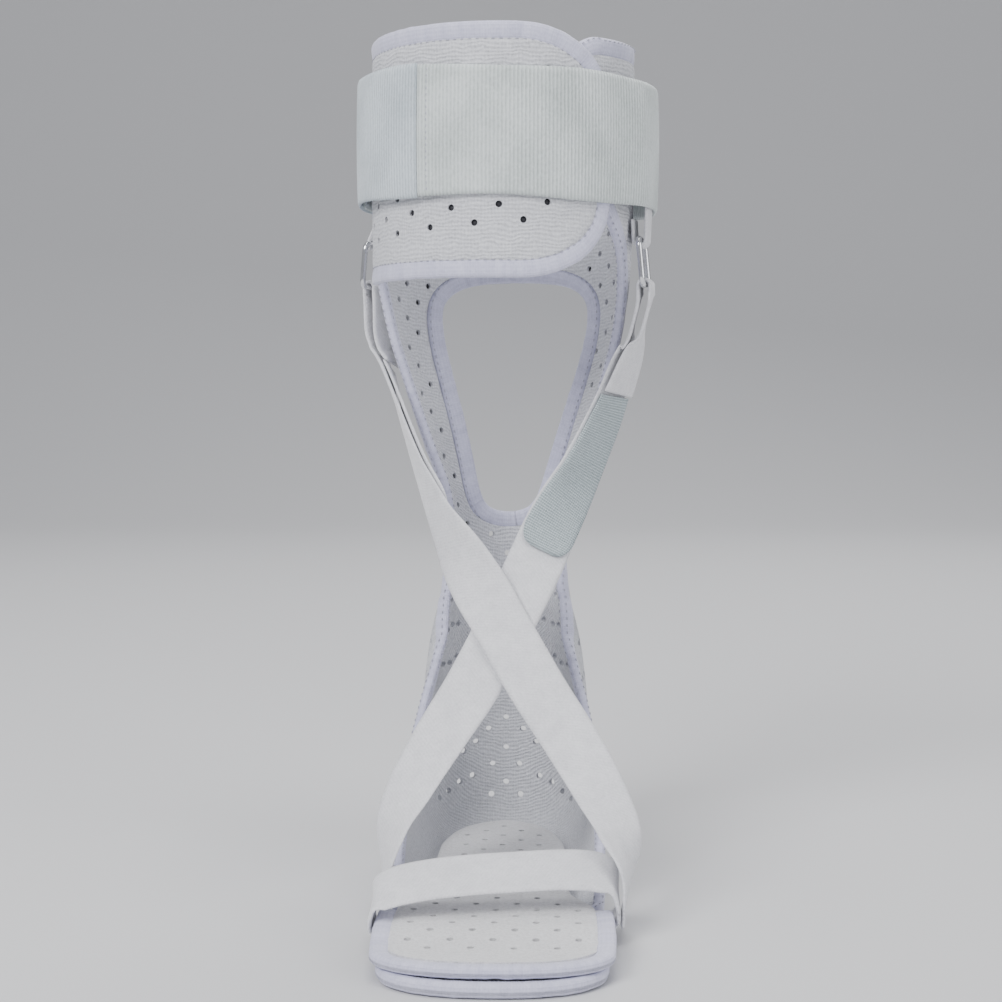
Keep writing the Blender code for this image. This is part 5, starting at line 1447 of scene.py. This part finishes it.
# %% The forefoot strap
def make_forefoot_strap():
    """A closed loop of tape: a flattened arch over the foot, round the insole's edges and under it."""
    reach = FOREFOOT_REACH
    low = INSOLE_MIDDLE - BINDING_THICK / 2 - GAP - TAPE_THICK / 2
    base = INSOLE_MIDDLE + BINDING_THICK / 2
    a = np.linspace(0, np.pi, 161)
    rise = np.abs(np.sin(a)) ** ARCH_TOP
    x = reach * np.sign(np.cos(a)) * np.abs(np.cos(a)) ** ARCH_SIDES * (1 - FOREFOOT_INWARD * rise)
    z = base + FOREFOOT_ARCH * rise * (1 + FOREFOOT_LEAN * np.cos(a))
    corner = (base - low) / 2
    b = np.linspace(0, np.pi / 2, 9)[:-1]
    left = np.stack([-reach + corner * (1 - np.cos(b)), low + corner * (1 - np.sin(b))], -1)
    flat = np.stack([np.linspace(-reach + corner, reach - corner, 60), np.full(60, low)], -1)
    loop = np.vstack([np.stack([x, z], -1), left, flat, (left * (-1, 1))[::-1]])
    loop = np.stack([loop[:, 0], 0 * loop[:, 0], loop[:, 1]], -1)
    loop, _ = resample(loop, loop, 260)
    tip = np.radians(FOREFOOT_TIP) * np.clip(2 * (loop[:, 2] - base) / FOREFOOT_ARCH, 0, 1)
    loop[:, 1] = FOREFOOT_Y + FOREFOOT_SLANT * loop[:, 0] / reach
    along = np.stack([0 * tip, np.cos(tip), np.sin(tip)], -1)
    tangent = unit((np.roll(loop, -1, 0) - np.roll(loop, 1, 0)) * (1, 0, 1))
    along = unit(along - (along * tangent).sum(-1, keepdims=True) * tangent)
    grid, shares = tape_grid(loop, along)
    normals = unit(np.cross(tangent[:, None] + 0 * grid, along[:, None] + 0 * grid))
    run = lengths(np.vstack([loop, loop[:1]]))
    edge = (TAPE_WIDTH / 2 - np.abs(shares))[None] + 0 * tip[:, None]
    uv = np.stack(np.broadcast_arrays(run[:-1, None], shares[None]), -1)
    grid, far = turned(grid), turned(grid + 0.01 * normals)
    thick = TAPE_THICK * rim(edge, 0.0011)
    piece = padded_panel("forefoot_band", grid, thick, uv, unit(far - grid), closed=True)
    finish_piece(piece, BRUSHED, ["forefoot_strap"])


make_forefoot_strap()


# %% [markdown]
# ## Floor and light
# A plain pale floor, and large soft lamps: one from the upper left in front, a weaker one from the
# right, and one from behind that separates the edges from the ground.

# %% Floor, lamps and sky
def make_floor():
    """A pale sweep: flat under the brace, and rising in a quarter circle far behind it."""
    back = 1.6
    radius = 1.2
    a = np.linspace(0, np.pi / 2, 24)
    y = np.concatenate([[-4.0, 0.0], back + radius * np.sin(a), [back + radius]])
    z = np.concatenate([[0.0, 0.0], radius * (1 - np.cos(a)), [4.0]])
    x = np.array((-5.0, 5.0))
    points = np.stack(np.broadcast_arrays(x[None], y[:, None], z[:, None] - 0.0001), -1).reshape(-1, 3)
    floor = mesh_piece("floor", points, quads(len(y), 2)[:, ::-1].tolist())
    material = bpy.data.materials.new("floor_pale")
    material.use_nodes = True
    shader = material.node_tree.nodes["Principled BSDF"]
    shader.inputs["Base Color"].default_value = (0.62, 0.62, 0.63, 1)
    shader.inputs["Roughness"].default_value = 0.9
    floor.data.materials.append(material)


def lamp(name, place, aim, size, power, colour=(1, 1, 1)):
    """A square area lamp that looks at a point."""
    data = bpy.data.lights.new(name, "AREA")
    data.energy, data.size, data.color = power, size, colour
    obj = bpy.data.objects.new(name, data)
    away = unit(np.array(place, float) - np.array(aim, float))
    right = unit(np.cross(UP, away))
    matrix = np.eye(4)
    matrix[:3] = np.stack([right, np.cross(away, right), away, place], 1)
    obj.matrix_world = Matrix(matrix.tolist())
    bpy.context.scene.collection.objects.link(obj)


make_floor()
MIDDLE = (0.0, 0.0, 0.18)
lamp("key", (-0.9, -1.3, 1.3), MIDDLE, 0.9, 34.0)
lamp("fill", (1.4, -0.9, 0.7), MIDDLE, 1.2, 12.0)
lamp("back", (0.3, 1.3, 1.4), MIDDLE, 1.0, 15.0)
lamp("top", (0.0, -0.1, 1.7), MIDDLE, 0.8, 11.0)
world = bpy.data.worlds.new("soft_sky")
world.use_nodes = True
world.node_tree.nodes["Background"].inputs[0].default_value = (0.92, 0.94, 1.0, 1.0)
world.node_tree.nodes["Background"].inputs[1].default_value = 0.45
bpy.context.scene.world = world
